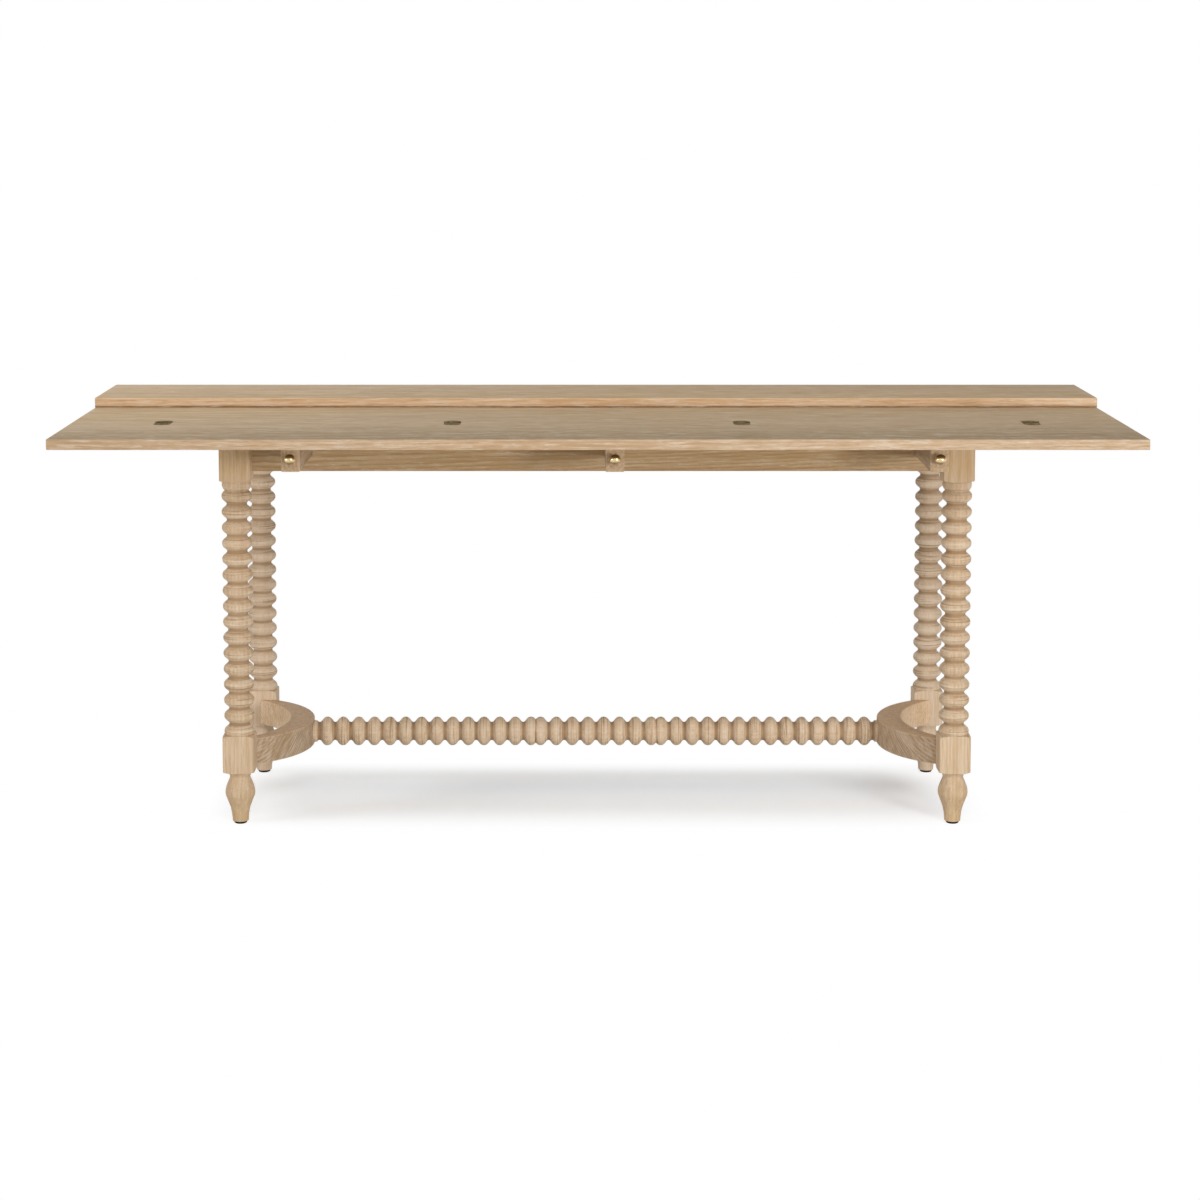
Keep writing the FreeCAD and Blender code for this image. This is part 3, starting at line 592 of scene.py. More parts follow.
class Finish(Nodes):
    """The nodes of one material, laid from its coordinates to its shader."""

    def __init__(self, name):
        self.material = bpy.data.materials.new(name)
        self.material.use_nodes = True
        super().__init__(self.material.node_tree)
        self.shader = self.tree.nodes["Principled BSDF"]
        self.tones = bpy.context.scene.table_tones

    def place(self):
        """Object coordinates."""
        return self.add("TexCoord").outputs["Object"]

    def grain(self, axis, offset):
        """Object coordinates with X along the grain, moved by an offset."""
        turn = [math.radians(angle) for angle in GRAIN_TURNS[axis]]
        inputs = {"Vector": self.place(), "Rotation": turn, "Location": offset}
        return self.add("Mapping", inputs).outputs[0]

    def vector(self, operation, a, b):
        """One step of arithmetic on vectors or colours."""
        return self.add("VectorMath", {0: a, 1: b}, operation=operation).outputs[0]

    def stretched(self, vector, scale):
        """A vector or colour times a scale for each axis."""
        return self.vector("MULTIPLY", vector, scale)

    def scaled(self, vector, amount):
        """A vector or colour times one number."""
        return self.add("VectorMath", {0: vector, "Scale": amount}, operation="SCALE").outputs[0]

    def noise(self, vector, scale, detail=3.0, roughness=0.55, output=0):
        """Noise with its own scale for each axis."""
        cells = self.stretched(vector, scale)
        inputs = {"Vector": cells, "Scale": 1.0, "Detail": detail, "Roughness": roughness}
        return self.add("TexNoise", inputs).outputs[output]

    def mark(self, name):
        """A mark that was noted on the mesh."""
        return self.add("Attribute", attribute_name=name).outputs["Fac"]

    def part(self, vector, axis):
        """The part of a vector along an axis (0, 1 or 2)."""
        return self.add("SeparateXYZ", {0: vector}).outputs[axis]

    def normal(self, axis):
        """The part of the face's direction along an axis."""
        return self.part(self.add("TexCoord").outputs["Normal"], axis)

    def spot(self, axis):
        """How far along an axis a point of the piece lies."""
        return self.part(self.place(), axis)

    def facing(self, axis):
        """One on faces square to an axis, nothing on the rest."""
        return self.between(self.sum("ABSOLUTE", self.normal(axis)), 0.5, 0.9)

    def between(self, value, low, high, to_low=0.0, to_high=1.0):
        """A value eased from one span to another."""
        inputs = {"Value": value, "From Min": low, "From Max": high, "To Min": to_low, "To Max": to_high}
        return self.add("MapRange", inputs, interpolation_type="SMOOTHSTEP").outputs[0]

    def mix(self, amount, first, second, blend="MIX"):
        """Two colours mixed."""
        inputs = {0: amount}
        for key, value in ((6, first), (7, second)):
            inputs[key] = value if isinstance(value, bpy.types.NodeSocket) else (*value, 1.0)
        return self.add("Mix", inputs, data_type="RGBA", blend_type=blend).outputs[2]

    def bump(self, height, distance, strength):
        """Relief on the shader's normal."""
        node = self.add("Bump", {"Height": height, "Distance": distance, "Strength": strength})
        self.set(Normal=node.outputs[0])

    def set(self, **sockets):
        """Values or links of the shader's own sockets."""
        for key, value in sockets.items():
            self.feed(self.shader.inputs[key.replace("_", " ")], value)


def oak(
    name, axis, offset, pith, tilt=(0.0, 0.0), tint=(1.0, 1.0, 1.0), wash=0.0, figure=1.0, mottle=1.0,
    lathe=0.0, patina=None,
):
    """Limed oak: rings about a pith line, long streaks, flecks, fine fibres, limed pores, and lathe lines."""
    f = Finish(name)
    tones = f.tones
    place = f.grain(axis, offset)
    sway = f.vector("SUBTRACT", f.noise(place, WANDER, output="Color"), (0.5, 0.5, 0.5))
    line = f.vector("ADD", place, f.stretched(sway, (0.0, SWAY, SWAY)))
    leaning = f.add("Mapping", {"Vector": line, "Rotation": (0.0, *tilt), "Location": (0.0, *pith)})
    across = f.stretched(leaning.outputs[0], (0.0, 1.0, 1.0))
    radius = f.add("VectorMath", {0: across}, operation="LENGTH").outputs["Value"]
    ring = f.sum("FRACT", f.times(radius, RINGS))
    ring = f.times(f.between(ring, 0.30, 0.90), f.between(ring, 1.0, 0.92))
    streak = f.noise(line, STREAK, 6.0, 0.66)
    fleck = f.noise(line, FLECK, 4.0, 0.62)
    fibre = f.noise(line, FIBRE, 3.0, 0.65)
    broad = f.noise(place, BROAD, 2.0)
    pore = f.between(f.noise(line, PORE, 2.0, 0.5), 0.57, 0.66)
    pore = f.times(pore, f.between(streak, 0.40, 0.60))

    colour = f.mix(f.between(streak, 0.38, 0.62), tones.warm, tones.pale)
    colour = f.mix(f.times(ring, 0.5 * figure), colour, tones.dark)
    colour = f.mix(f.between(broad, 0.36, 0.66, 0.0, 0.35), colour, tones.warm)
    colour = f.mix(wash, f.stretched(colour, tint), tones.lime)
    if patina:
        colour = patina(f, colour, line)
    colour = f.mix(f.between(fleck, 0.51, 0.64, 0.0, 0.48 * mottle), colour, tones.lime)
    colour = f.mix(f.between(fleck, 0.47, 0.34, 0.0, 0.40 * mottle), colour, tones.dark)
    colour = f.mix(f.between(fibre, 0.32, 0.70, 0.30, 0.0), colour, tones.dark)
    colour = f.mix(f.times(pore, 0.6), colour, tones.lime)

    relief = f.sum("ADD", f.times(fibre, 0.5), f.times(ring, -0.35))
    relief = f.sum("SUBTRACT", relief, f.times(pore, 0.8))
    if lathe:
        lines = f.noise(place, LATHE_LINE, 3.0, 0.6)
        breaks = f.between(f.noise(place, LATHE_BREAK, 1.0), 0.36, 0.56)
        turned_part = f.mark("turned")
        hollow = f.mark("hollow")
        scored = f.times(f.times(f.between(lines, 0.52, 0.64), breaks), turned_part)
        limed = f.times(f.between(lines, 0.48, 0.38), turned_part)
        colour = f.mix(f.times(scored, 0.6 * lathe), colour, tones.dark)
        colour = f.mix(f.times(limed, 0.4 * lathe), colour, tones.lime)
        # Darker towards the necks: dark finish lodged in the hollows, and painted shade in the grooves
        colour = f.mix(f.between(hollow, 0.60, 1.0, 0.0, 0.34 * lathe), colour, tones.dark)
        colour = f.mix(f.between(hollow, 0.86, 1.0, 0.0, 0.60 * lathe), colour, tones.dark)
        relief = f.sum("SUBTRACT", relief, f.times(scored, 1.6))
    # Eased faces made lighter: wear, and a painted highlight along the edges
    worn = f.times(f.mark("worn"), f.between(streak, 0.35, 0.6, 0.1, 0.5))
    colour = f.mix(worn, colour, tones.pale)
    f.bump(relief, 0.0004, 0.6)
    f.set(Base_Color=colour, Roughness=f.between(fibre, 0.3, 0.7, 0.70, 0.54), Specular_IOR_Level=0.16)
    return f.material


def greyed_with_painted_shade(front, rear, front_level, rear_level, seam):
    """Boards with greyed faces, painted shade that darkens the tops towards the front, tops lighter towards
    the left end, and painted contact shade along a seam.
    """
    def patina(f, colour, line):
        band = f.noise(line, BAND, 4.0, 0.62)
        aged = f.mix(0.7, colour, f.tones.grey)
        aged = f.mix(f.between(band, 0.50, 0.66, 0.0, 0.42), aged, f.tones.dark)
        aged = f.mix(f.between(band, 0.48, 0.34, 0.0, 0.40), aged, f.tones.pale)
        # Painted shade darkens the tops towards the front; they are also lighter towards the left end
        depth = f.between(f.spot(1), front, rear, front_level, rear_level)
        shade = f.times(depth, f.between(f.spot(0), -1.0, -0.2, 1.26, 1.0))
        upper = f.times(shade, f.between(f.normal(2), -0.5, 0.5))
        shade = f.sum("ADD", upper, f.between(f.normal(2), 0.5, -0.5, 0.0, 0.9))
        # Painted contact shade on the side faces just above the seam
        contact_shade = f.between(f.spot(2), seam + 0.002, seam + 0.005, 0.9, 0.0)
        edges = f.mix(contact_shade, colour, f.scaled(f.tones.dark, 0.3))
        return f.mix(f.facing(2), edges, f.scaled(aged, shade))
    return patina


def rubbed(axis, level):
    """Painted light and shade: faces square to an axis made lighter or darker than the rest by one share."""
    def patina(f, colour, line):
        return f.mix(f.facing(axis), colour, f.scaled(colour, level))
    return patina


def hatched_with_painted_light(side, upper, outer):
    """Crescents: limed hatching in patches on the walls, and painted light on the upper and outer faces."""
    def patina(f, colour, line):
        stripe = f.sum("PINGPONG", f.times(f.part(line, 1), HATCHES), 1.0)
        patch = f.between(f.noise(line, PATCH, 2.0), 0.40, 0.56, 0.0, 0.42)
        walls = f.mix(f.times(f.between(stripe, 0.45, 0.85), patch), colour, f.tones.lime)
        # Painted light on the faces turned outwards and on the upper faces
        lit_outward = f.between(f.times(f.normal(0), side), 0.3, 0.6)
        walls = f.mix(lit_outward, walls, f.scaled(walls, outer))
        return f.mix(f.facing(2), walls, f.scaled(colour, upper))
    return patina


def darkened_ends(foot, height):
    """Legs darker and yellower at the tips of the feet, and above a height where the top's shade is painted
    on.
    """
    def patina(f, colour, line):
        # Painted shade of the top on the upper blocks
        above = f.between(f.spot(2), height, height + 0.03)
        ends = f.sum("ADD", f.between(f.spot(2), foot, 0.0), above)
        return f.mix(ends, colour, f.stretched(colour, (0.94, 0.90, 0.78)))
    return patina


def polished_brass():
    """Bright brass with faint swirls, and painted dark reflections on the faces that look up and down."""
    f = Finish("polished_brass")
    cloud = f.noise(f.place(), (160.0, 160.0, 160.0), 4.0)
    swirl = f.noise(f.place(), (300.0, 2600.0, 300.0))
    colour = f.mix(f.between(cloud, 0.45, 0.75, 0.0, 0.45), f.tones.brass, f.tones.worn)
    # Painted dark reflections on the faces that turn up and down
    painted_dark_reflection = f.between(f.sum("ABSOLUTE", f.normal(2)), 0.22, 0.66, 0.0, 0.8)
    colour = f.mix(painted_dark_reflection, colour, f.tones.aged)
    f.set(Base_Color=colour, Metallic=1.0, Roughness=f.between(cloud, 0.35, 0.75, 0.13, 0.28))
    f.bump(swirl, 0.00004, 0.5)
    return f.material


def aged_brass():
    """Brass under a dark, blotchy patina, rubbed on its high spots."""
    f = Finish("aged_brass")
    blotch = f.noise(f.place(), (170.0, 170.0, 170.0), 5.0, 0.65)
    speck = f.noise(f.place(), (1400.0, 1400.0, 1400.0))
    bare = f.times(f.between(blotch, 0.48, 0.66), f.between(speck, 0.35, 0.6, 0.45, 1.0))
    colour = f.mix(f.times(bare, 0.6), f.tones.aged, f.tones.worn)
    roughness = f.between(blotch, 0.35, 0.65, 0.85, 0.6)
    f.set(Base_Color=colour, Metallic=0.35, Roughness=roughness, Specular_IOR_Level=0.12)
    f.bump(f.sum("ADD", blotch, f.times(speck, 0.4)), 0.00012, 0.6)
    return f.material


def plain_steel():
    """Zinc-plated steel of the hidden screws."""
    f = Finish("screw_steel")
    cloud = f.noise(f.place(), (400.0, 400.0, 400.0))
    colour = f.mix(f.between(cloud, 0.3, 0.7, 0.0, 0.3), f.tones.steel, f.tones.dull)
    f.set(Base_Color=colour, Metallic=1.0, Roughness=f.between(cloud, 0.3, 0.7, 0.30, 0.45))
    f.bump(cloud, 0.00003, 0.4)
    return f.material


def dark_glide():
    """Dull dark plastic, scuffed near the floor."""
    f = Finish("dark_glide")
    scuff = f.noise(f.place(), (500.0, 500.0, 1500.0), 4.0)
    colour = f.mix(f.between(scuff, 0.45, 0.75, 0.0, 0.3), f.tones.glide, f.tones.scuff)
    f.set(Base_Color=colour, Roughness=f.between(scuff, 0.3, 0.7, 0.6, 0.8), Specular_IOR_Level=0.1)
    f.bump(scuff, 0.0001, 0.5)
    return f.material


# Operators, one for each piece or group of like pieces

class TABLE_OT_legs(bpy.types.Operator):
    """Turn one leg, join it to its square blocks and stand a copy at each corner"""

    bl_idname = "table.legs"
    bl_label = "Legs"
    past_corner = 1.1

    def block(self, sizes, bottom, top, top_shoulder):
        """A square block with its corners turned back at its shoulders."""
        half = sizes.block / 2
        piece = cube((-half, -half, bottom), (half, half, top))
        ease(piece, sizes.block_ease, 2)
        reach = half * (math.sqrt(2) - 1) * self.past_corner
        spread = math.asin(reach / sizes.shoulder)
        low = []
        for number in range(SHOULDER_STEPS + 1):
            angle = spread * number / SHOULDER_STEPS
            rise = sizes.shoulder * (1 - math.cos(angle))
            low.append((half + sizes.shoulder * math.sin(angle), bottom + rise))
        over = top + sizes.block
        high = [(low[-1][0], over), (0, over)]
        if top_shoulder:
            high = [(radius, top + bottom - height) for radius, height in reversed(low)] + [(0, top)]
        tool = turned([(0, bottom), *low, *high], sizes.steps)
        work(piece, tool, "INTERSECT")
        return piece

    def outline(self, sizes, glide_top, lower_top, upper_bottom):
        """The outline of the turned work between foot and upper block."""
        knots = [(sizes.bulb * radius, glide_top + sizes.foot * height) for height, radius in FOOT_SHARES]
        first = lower_top + sizes.lowest_sink
        last = upper_bottom - sizes.top_drop
        pitch = (last - first) / (sizes.leg_crests - 1)
        bobbins = Bobbins(sizes, sizes.leg_crest, sizes.leg_neck, pitch)
        rise = bobbins.rise_to(sizes.collar_neck)
        row = bobbins.row(first, sizes.leg_crests, sizes.lowest_sink, rise)
        half = (upper_bottom + sizes.collar_sink - last - rise) / 2
        swell = sizes.collar - sizes.collar_neck
        radius = (half ** 2 + swell ** 2) / (2 * swell)
        spread = math.asin(half / radius)
        middle = (sizes.collar - radius, last + rise + half)
        collar = arc_points(middle, radius, -spread, spread, COLLAR_STEPS)[1:]
        core_top = (upper_bottom + FRAME_Z) / 2
        ends = [(sizes.collar_neck, core_top), (0, core_top)]
        return [(0, glide_top), *smooth_points(knots, FOOT_STEPS), *row, *collar, *ends]

    def execute(self, context):
        sizes = context.scene.table_turning
        glide_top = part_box("front_left_leg")[0].z
        lower_bottom = glide_top + sizes.foot
        lower_top = lower_bottom + sizes.lower_block
        upper_bottom = FRAME_Z - sizes.upper_block
        leg = turned(self.outline(sizes, glide_top, lower_top, upper_bottom), sizes.steps)
        work(leg, self.block(sizes, lower_bottom, lower_top, True), "UNION")
        work(leg, self.block(sizes, upper_bottom, FRAME_Z, False), "UNION")
        # The feet and the blocks show no lathe lines
        smooth = ((glide_top, lower_top), (upper_bottom, FRAME_Z))
        mark_turning(leg, sizes.leg_crest, sizes.leg_neck, lambda co: not any(
            low - TOLERANCE <= co.z <= high + TOLERANCE for low, high in smooth
        ))
        # The front legs get painted shade of the top on their upper blocks
        finish = oak(
            "leg_oak", "Z", (0.0, 0.0, 0.0), (0.021, 0.034), tint=(1.10, 1.10, 1.07), wash=0.12,
            patina=darkened_ends(foot=0.09, height=0.63), **TURNED,
        )
        # The rear legs' lighter tint and heavier lime wash are painted light, making up for the shade of the
        # top
        lit_rear_finish = oak(
            "rear_leg_oak", "Z", (0.9, 0.6, 0.0), (-0.63, -0.034), tint=(1.32, 1.32, 1.32), wash=0.44,
            **TURNED,
        )
        for name in LEGS:
            middle = middle_of(name + "_leg")
            copy = settle(another(leg), (middle.x, middle.y, 0))
            own = lit_rear_finish if name.startswith("rear") else finish
            hand_over(copy, "turned_" + name + "_leg", own, "frame", "turned_oak", name + "_leg")
        throw_away(leg)
        return {"FINISHED"}


class TABLE_OT_glides(bpy.types.Operator):
    """Turn a floor glide and put one under each foot"""

    bl_idname = "table.glides"
    bl_label = "Floor glides"

    def execute(self, context):
        sizes = context.scene.table_turning
        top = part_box("front_left_leg")[0].z
        flat = sizes.glide - sizes.glide_round
        rim = arc_points((flat, sizes.glide_round), sizes.glide_round, -math.pi / 2, 0, RIM_STEPS)
        outline = [(0, 0), *rim, (sizes.glide, top), (0, top)]
        glide = turned(outline, sizes.steps)
        finish = dark_glide()
        for name in LEGS:
            middle = middle_of(name + "_leg")
            copy = settle(another(glide), (middle.x, middle.y, 0))
            hand_over(copy, "round_" + name + "_glide", finish, "frame", "dark_glides", name + "_glide")
        throw_away(glide)
        return {"FINISHED"}


class TABLE_OT_stretcher(bpy.types.Operator):
    """Turn the three sections of the long stretcher and lay them along the table"""

    bl_idname = "table.stretcher"
    bl_label = "Long stretcher"

    def middle(self, sizes, joint):
        """The middle section's outline, cut flat at both joints."""
        bobbins = Bobbins(sizes, sizes.stretcher_crest, sizes.stretcher_neck, sizes.stretcher_pitch)
        cut = sizes.stretcher_cut
        row = bobbins.row(cut - joint, sizes.middle_crests, cut, cut)
        return [(0, -joint), *row, (0, joint)]

    def outer(self, sizes, joint, apex):
        """An outer section's outline, from its joint to its collar."""
        first = joint + sizes.stretcher_cut
        pitch = (apex - sizes.end_run - first) / (sizes.outer_crests - 0.5)
        bobbins = Bobbins(sizes, sizes.stretcher_crest, sizes.stretcher_neck, pitch)
        row = bobbins.row(first, sizes.outer_crests, sizes.stretcher_cut, bobbins.reach)
        neck = bobbins.under(first + pitch * (sizes.outer_crests - 1))
        rise = (sizes.end_collar - neck[-1][0]) / math.tan(bobbins.flank)
        collar = [(sizes.end_collar, neck[-1][1] + rise), (sizes.end_collar, apex + sizes.seat)]
        return [(0, joint), *row, *neck, *collar, (0, apex + sizes.seat)]

    def execute(self, context):
        sizes = context.scene.table_turning
        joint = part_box("stretcher_middle_section")[1].x
        axis = middle_of("stretcher_middle_section")
        outer = self.outer(sizes, joint, context.scene.table_crescents.apex)
        # The lighter tint and lime wash are painted light, making up for the shade of the top
        finish = oak(
            "stretcher_oak", "X", (0.0, 0.0, 0.0), (-0.155, -0.095), tint=(1.27, 1.27, 1.26), wash=0.26,
            **TURNED,
        )
        for name, outline, turn in (
            ("left", outer, -math.pi / 2),
            ("middle", self.middle(sizes, joint), math.pi / 2),
            ("right", outer, math.pi / 2),
        ):
            piece = turned(outline, sizes.steps)
            mark_turning(piece, sizes.stretcher_crest, sizes.stretcher_neck, lambda co: True)
            settle(piece, (0, axis.y, axis.z), (0, turn, 0))
            node = "stretcher_" + name + "_section"
            hand_over(piece, "turned_" + node, finish, "frame", "turned_oak", node)
        return {"FINISHED"}


class TABLE_OT_crescents(bpy.types.Operator):
    """Sweep the two arcs of a crescent, bridge them, raise the plan and ease its edges"""

    bl_idname = "table.crescents"
    bl_label = "Crescent stretchers"

    def sweep(self, place, apex_x, middle_y, steps):
        """An arc of vertices from a front end over an apex to the rear, in edit mode."""
        rise = abs(place[0] - apex_x)
        half = middle_y - place[1]
        radius = (half ** 2 + rise ** 2) / (2 * rise)
        side = 1 if apex_x > 0 else -1
        centre = (apex_x + side * radius, middle_y, place[2])
        angle = 2 * math.asin(half / radius)
        bpy.ops.mesh.spin(steps=steps, angle=side * angle, center=centre, axis=(0, 0, 1))

    def execute(self, context):
        sizes = context.scene.table_crescents
        leg = context.scene.table_turning.block / 2
        # The left crescent's darker tint and the right's lighter one are painted shade and painted light, and
        # both get painted light on their upper and outer faces
        for name, side, tint, patina in (
            ("left", -1, (0.66, 0.62, 0.56), hatched_with_painted_light(-1, 1.85, 1.7)),
            ("right", 1, (0.80, 0.75, 0.68), hatched_with_painted_light(1, 1.75, 1.6)),
        ):
            node = name + "_crescent_stretcher"
            finish = oak(
                node + "_oak", name + "_slant", (0.0, 0.0, 0.0), (0.3, 0.05), (0.05, 0.1), tint,
                wash=0.08, mottle=0.8, patina=patina,
            )
            low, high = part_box(node)
            front, rear = (middle_of(end + "_" + name + "_leg") for end in ("front", "rear"))
            front_face = front.y + leg
            middle_y = (front.y + rear.y) / 2
            end_x = side * (abs(front.x) - leg)
            arcs = []
            for start_x, apex_x in (
                (end_x, side * sizes.apex),
                (end_x + side * sizes.end_width, side * (sizes.apex + sizes.apex_width)),
            ):
                arc = lone_vertex((start_x, front_face, low.z))
                self.sweep((start_x, front_face, low.z), apex_x, middle_y, sizes.steps)
                put_down()
                arcs.append(arc)
            pick_up(*arcs)
            bpy.ops.object.join()
            piece = in_hand()
            edit(piece, "EDGE")
            bpy.ops.mesh.bridge_edge_loops()
            bpy.ops.mesh.select_all(action="SELECT")
            bpy.ops.mesh.extrude_region_move(TRANSFORM_OT_translate={"value": (0, 0, high.z - low.z)})
            close_up(piece)
            ease(piece, sizes.ease)
            mark_eased_faces(piece, bowed=True)
            hand_over(piece, "bowed_" + node, finish, "frame", "frame_oak", node)
        return {"FINISHED"}


class TABLE_OT_knobs(bpy.types.Operator):
    """Turn a ball knob and set one in the front of each loper"""

    bl_idname = "table.knobs"
    bl_label = "Ball knobs"
    lip_share = 0.25
    cove_shares = (0.30, 0.40)

    def execute(self, context):
        sizes = context.scene.table_knobs
        neck_top = sizes.base_height + sizes.neck_length
        rise = math.sqrt(sizes.ball ** 2 - sizes.neck ** 2)
        centre = (0, neck_top + rise)
        ball = arc_points(centre, sizes.ball, -math.atan2(rise, sizes.neck), math.pi / 2, BALL_STEPS)
        lip = sizes.base_height * self.lip_share
        inward, upward = self.cove_shares
        cove = smooth_points([
            (sizes.base - lip, sizes.base_height),
            (sizes.neck + inward * (sizes.base - sizes.neck), sizes.base_height + upward * sizes.neck_length),
            (sizes.neck, neck_top),
        ], COVE_STEPS)
        outline = [(0, 0), (sizes.base, 0), (sizes.base, sizes.base_height - lip), *cove, *ball]
        outline[-1] = (0, centre[1] + sizes.ball)
        knob = turned(outline, context.scene.table_turning.steps)
        finish = polished_brass()
        for name in LOPERS:
            low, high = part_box(name + "_loper")
            place = ((low.x + high.x) / 2, low.y, (low.z + high.z) / 2)
            copy = settle(another(knob), place, (math.pi / 2, 0, 0))
            node = name + "_loper_knob"
            hand_over(copy, "ball_" + node, finish, name + "_loper_slide", "polished_brass", node)
        throw_away(knob)
        return {"FINISHED"}


class TABLE_OT_hinges(bpy.types.Operator):
    """Cut the oval plates of a hinge, put on their knuckles, pin and slotted screws, and set them at every
    hinge
    """

    bl_idname = "table.hinges"
    bl_label = "Oval hinges"
    # Holes, screws and eased edges, as shares of a head's radius, a plate's thickness and a plate's edge
    hole_share = 1.04
    hole_depth = 0.02
    screw_share = 0.9
    slot_share = 0.3
    screw_edge = 0.5
    pin_edge = 0.6
    # Turns of the slots from hinge to hinge, from screw to screw and for the plate's side
    slot_turns = (0.7, 1.1, 0.4)

    def spans(self, sizes, side):
        """Stretches of the barrel that belong to the leaf (-1) or the board (1)."""
        inner = sizes.width / 6
        gap = sizes.relief / 2
        if side < 0:
            return [(-inner + gap, inner - gap)]
        return [(-sizes.width / 2, -inner - gap), (inner + gap, sizes.width / 2)]

    def barrel(self, sizes, span, radius, axis):
        """One knuckle of the barrel, or the room for one."""
        middle = (sum(span) / 2, axis.y, axis.z)
        return rod(radius, span[1] - span[0], middle, (0, math.pi / 2, 0), SMALL_STEPS)

    def plate(self, sizes, side, axis):
        """Half an oval plate with its knuckles, screw holes and eased edges, at X zero."""
        radius = sizes.width / 2
        tip_y = axis.y + side * (sizes.half_length - radius)
        near_y = axis.y + side * sizes.joint / 2
        level = TOP_Z - sizes.thickness / 2
        piece = rod(radius, sizes.thickness, (0, tip_y, level), steps=OVAL_STEPS)
        edit(piece)
        bpy.ops.mesh.bisect(plane_co=(0, tip_y, 0), plane_no=(0, side, 0), use_fill=True, clear_inner=True)
        choose_faces(piece, lambda face: face.normal.y * side < -SQUARE_SHARE)
        bpy.ops.mesh.extrude_region_move(TRANSFORM_OT_translate={"value": (0, near_y - tip_y, 0)})
        close_up(piece)
        for span in self.spans(sizes, side):
            work(piece, self.barrel(sizes, span, sizes.knuckle, axis), "UNION")
        for span in self.spans(sizes, -side):
            wider = (span[0] - sizes.relief, span[1] + sizes.relief)
            work(piece, self.barrel(sizes, wider, sizes.knuckle + sizes.relief, axis), "DIFFERENCE")
        for reach in (sizes.screw_near, sizes.screw_far):
            place = (0, axis.y + side * reach, level)
            hole = rod(sizes.screw_head * self.hole_share, self.hole_depth, place, steps=SMALL_STEPS)
            work(piece, hole, "DIFFERENCE")
        ease(piece, sizes.edge, 2)
        return piece

    def screw(self, sizes):
        """A slotted screw head under the origin."""
        depth = sizes.thickness * self.screw_share
        head = rod(sizes.screw_head, depth, (0, 0, -depth / 2), steps=SMALL_STEPS)
        slot = sizes.slot_width / 2
        wide = sizes.screw_head * 2
        work(head, cube((-wide, -slot, -depth * self.slot_share), (wide, slot, depth)), "DIFFERENCE")
        ease(head, sizes.edge * self.screw_edge, 2)
        return head

    def execute(self, context):
        sizes = context.scene.table_hinges
        axis = middle_of("inner_left_hinge_pin")
        finish = aged_brass()
        screw = self.screw(sizes)
        for kind, side, body in (("board", 1, "frame"), ("leaf", -1, "leaf")):
            plate = self.plate(sizes, side, axis)
            screws = []
            for number, name in enumerate(HINGES):
                middle_x = middle_of(name + "_hinge_pin").x
                node = name + "_hinge_" + kind + "_plate"
                copy = settle(another(plate), (middle_x, 0, 0))
                hand_over(copy, "oval_" + node, finish, body, "aged_brass", node)
                for turn, reach in enumerate((sizes.screw_near, sizes.screw_far)):
                    place = (middle_x, axis.y + side * reach, TOP_Z - sizes.screw_sink)
                    angle = sum(a * b for a, b in zip(self.slot_turns, (number, turn, side)))
                    screws.append(settle(another(screw), place, (0, 0, angle)))
            throw_away(plate)
            pick_up(*screws)
            bpy.ops.object.join()
            node = "hinge_" + kind + "_screws"
            hand_over(in_hand(), "slotted_" + node, finish, body, "brass_screws", node)
        throw_away(screw)
        for name in HINGES:
            node = name + "_hinge_pin"
            pin = rod(sizes.pin, sizes.width + sizes.relief, middle_of(node), (0, math.pi / 2, 0), PIN_STEPS)
            ease(pin, sizes.edge * self.pin_edge, 2)
            hand_over(pin, "round_" + node, finish, "frame", "aged_brass", node)
        return {"FINISHED"}


class TABLE_OT_boards(bpy.types.Operator):
    """Square up the three boards of the top, ease their edges and let the hinges into two of them"""

    bl_idname = "table.boards"
    bl_label = "Boards of the top"
    board_ease = 0.0008
    panel_ease = 0.0014

    def let_in(self, board, side, sizes):
        """Cut the seats of the oval plates into a board's edge."""
        clearance = sizes.relief / 2
        radius = sizes.width / 2 + clearance
        bottom = TOP_Z - sizes.thickness
        for name in HINGES:
            axis = middle_of(name + "_hinge_pin")
            tip_y = axis.y + side * (sizes.half_length - sizes.width / 2)
            seat = rod(radius, sizes.thickness * 2, (axis.x, tip_y, TOP_Z), steps=OVAL_STEPS)
            work(board, seat, "DIFFERENCE")
            near, far = sorted((axis.y, tip_y))
            corner = (axis.x - radius, near, bottom)
            work(board, cube(corner, (axis.x + radius, far, TOP_Z + sizes.thickness)), "DIFFERENCE")

    def execute(self, context):
        sizes = context.scene.table_hinges
        # The tops darken towards the front with painted shade, and the raised panel has painted contact shade
        # along its seam on the board
        for node, offset, pith, tint, patina, body, side, width in (
            ("fixed_board", (0.0, 0.0, 0.0), (-0.10, -0.42), (1.0, 1.0, 1.0),
             greyed_with_painted_shade(-0.12, 0.12, 0.84, 1.0, 0.0), "frame", 1, self.board_ease),
            ("raised_panel", (3.1, 0.4, 0.2), (-0.62, -0.70), (1.14, 1.08, 1.03),
             greyed_with_painted_shade(0.12, 0.34, 0.92, 0.96, TOP_Z), "frame", 0, self.panel_ease),
            ("flip_leaf", (6.3, 0.9, 0.5), (-0.66, -0.92), (0.90, 0.89, 0.89),
             greyed_with_painted_shade(-0.34, -0.12, 0.50, 0.84, 0.0), "leaf", -1, self.board_ease),
        ):
            finish = oak(node + "_oak", "X", offset, pith, (0.012, 0.015), tint, figure=0.7, patina=patina)
            piece = timber(node, width)
            mark_eased_faces(piece)
            if side:
                self.let_in(piece, side, sizes)
            hand_over(piece, "eased_" + node, finish, body, "board_oak", node)
        return {"FINISHED"}


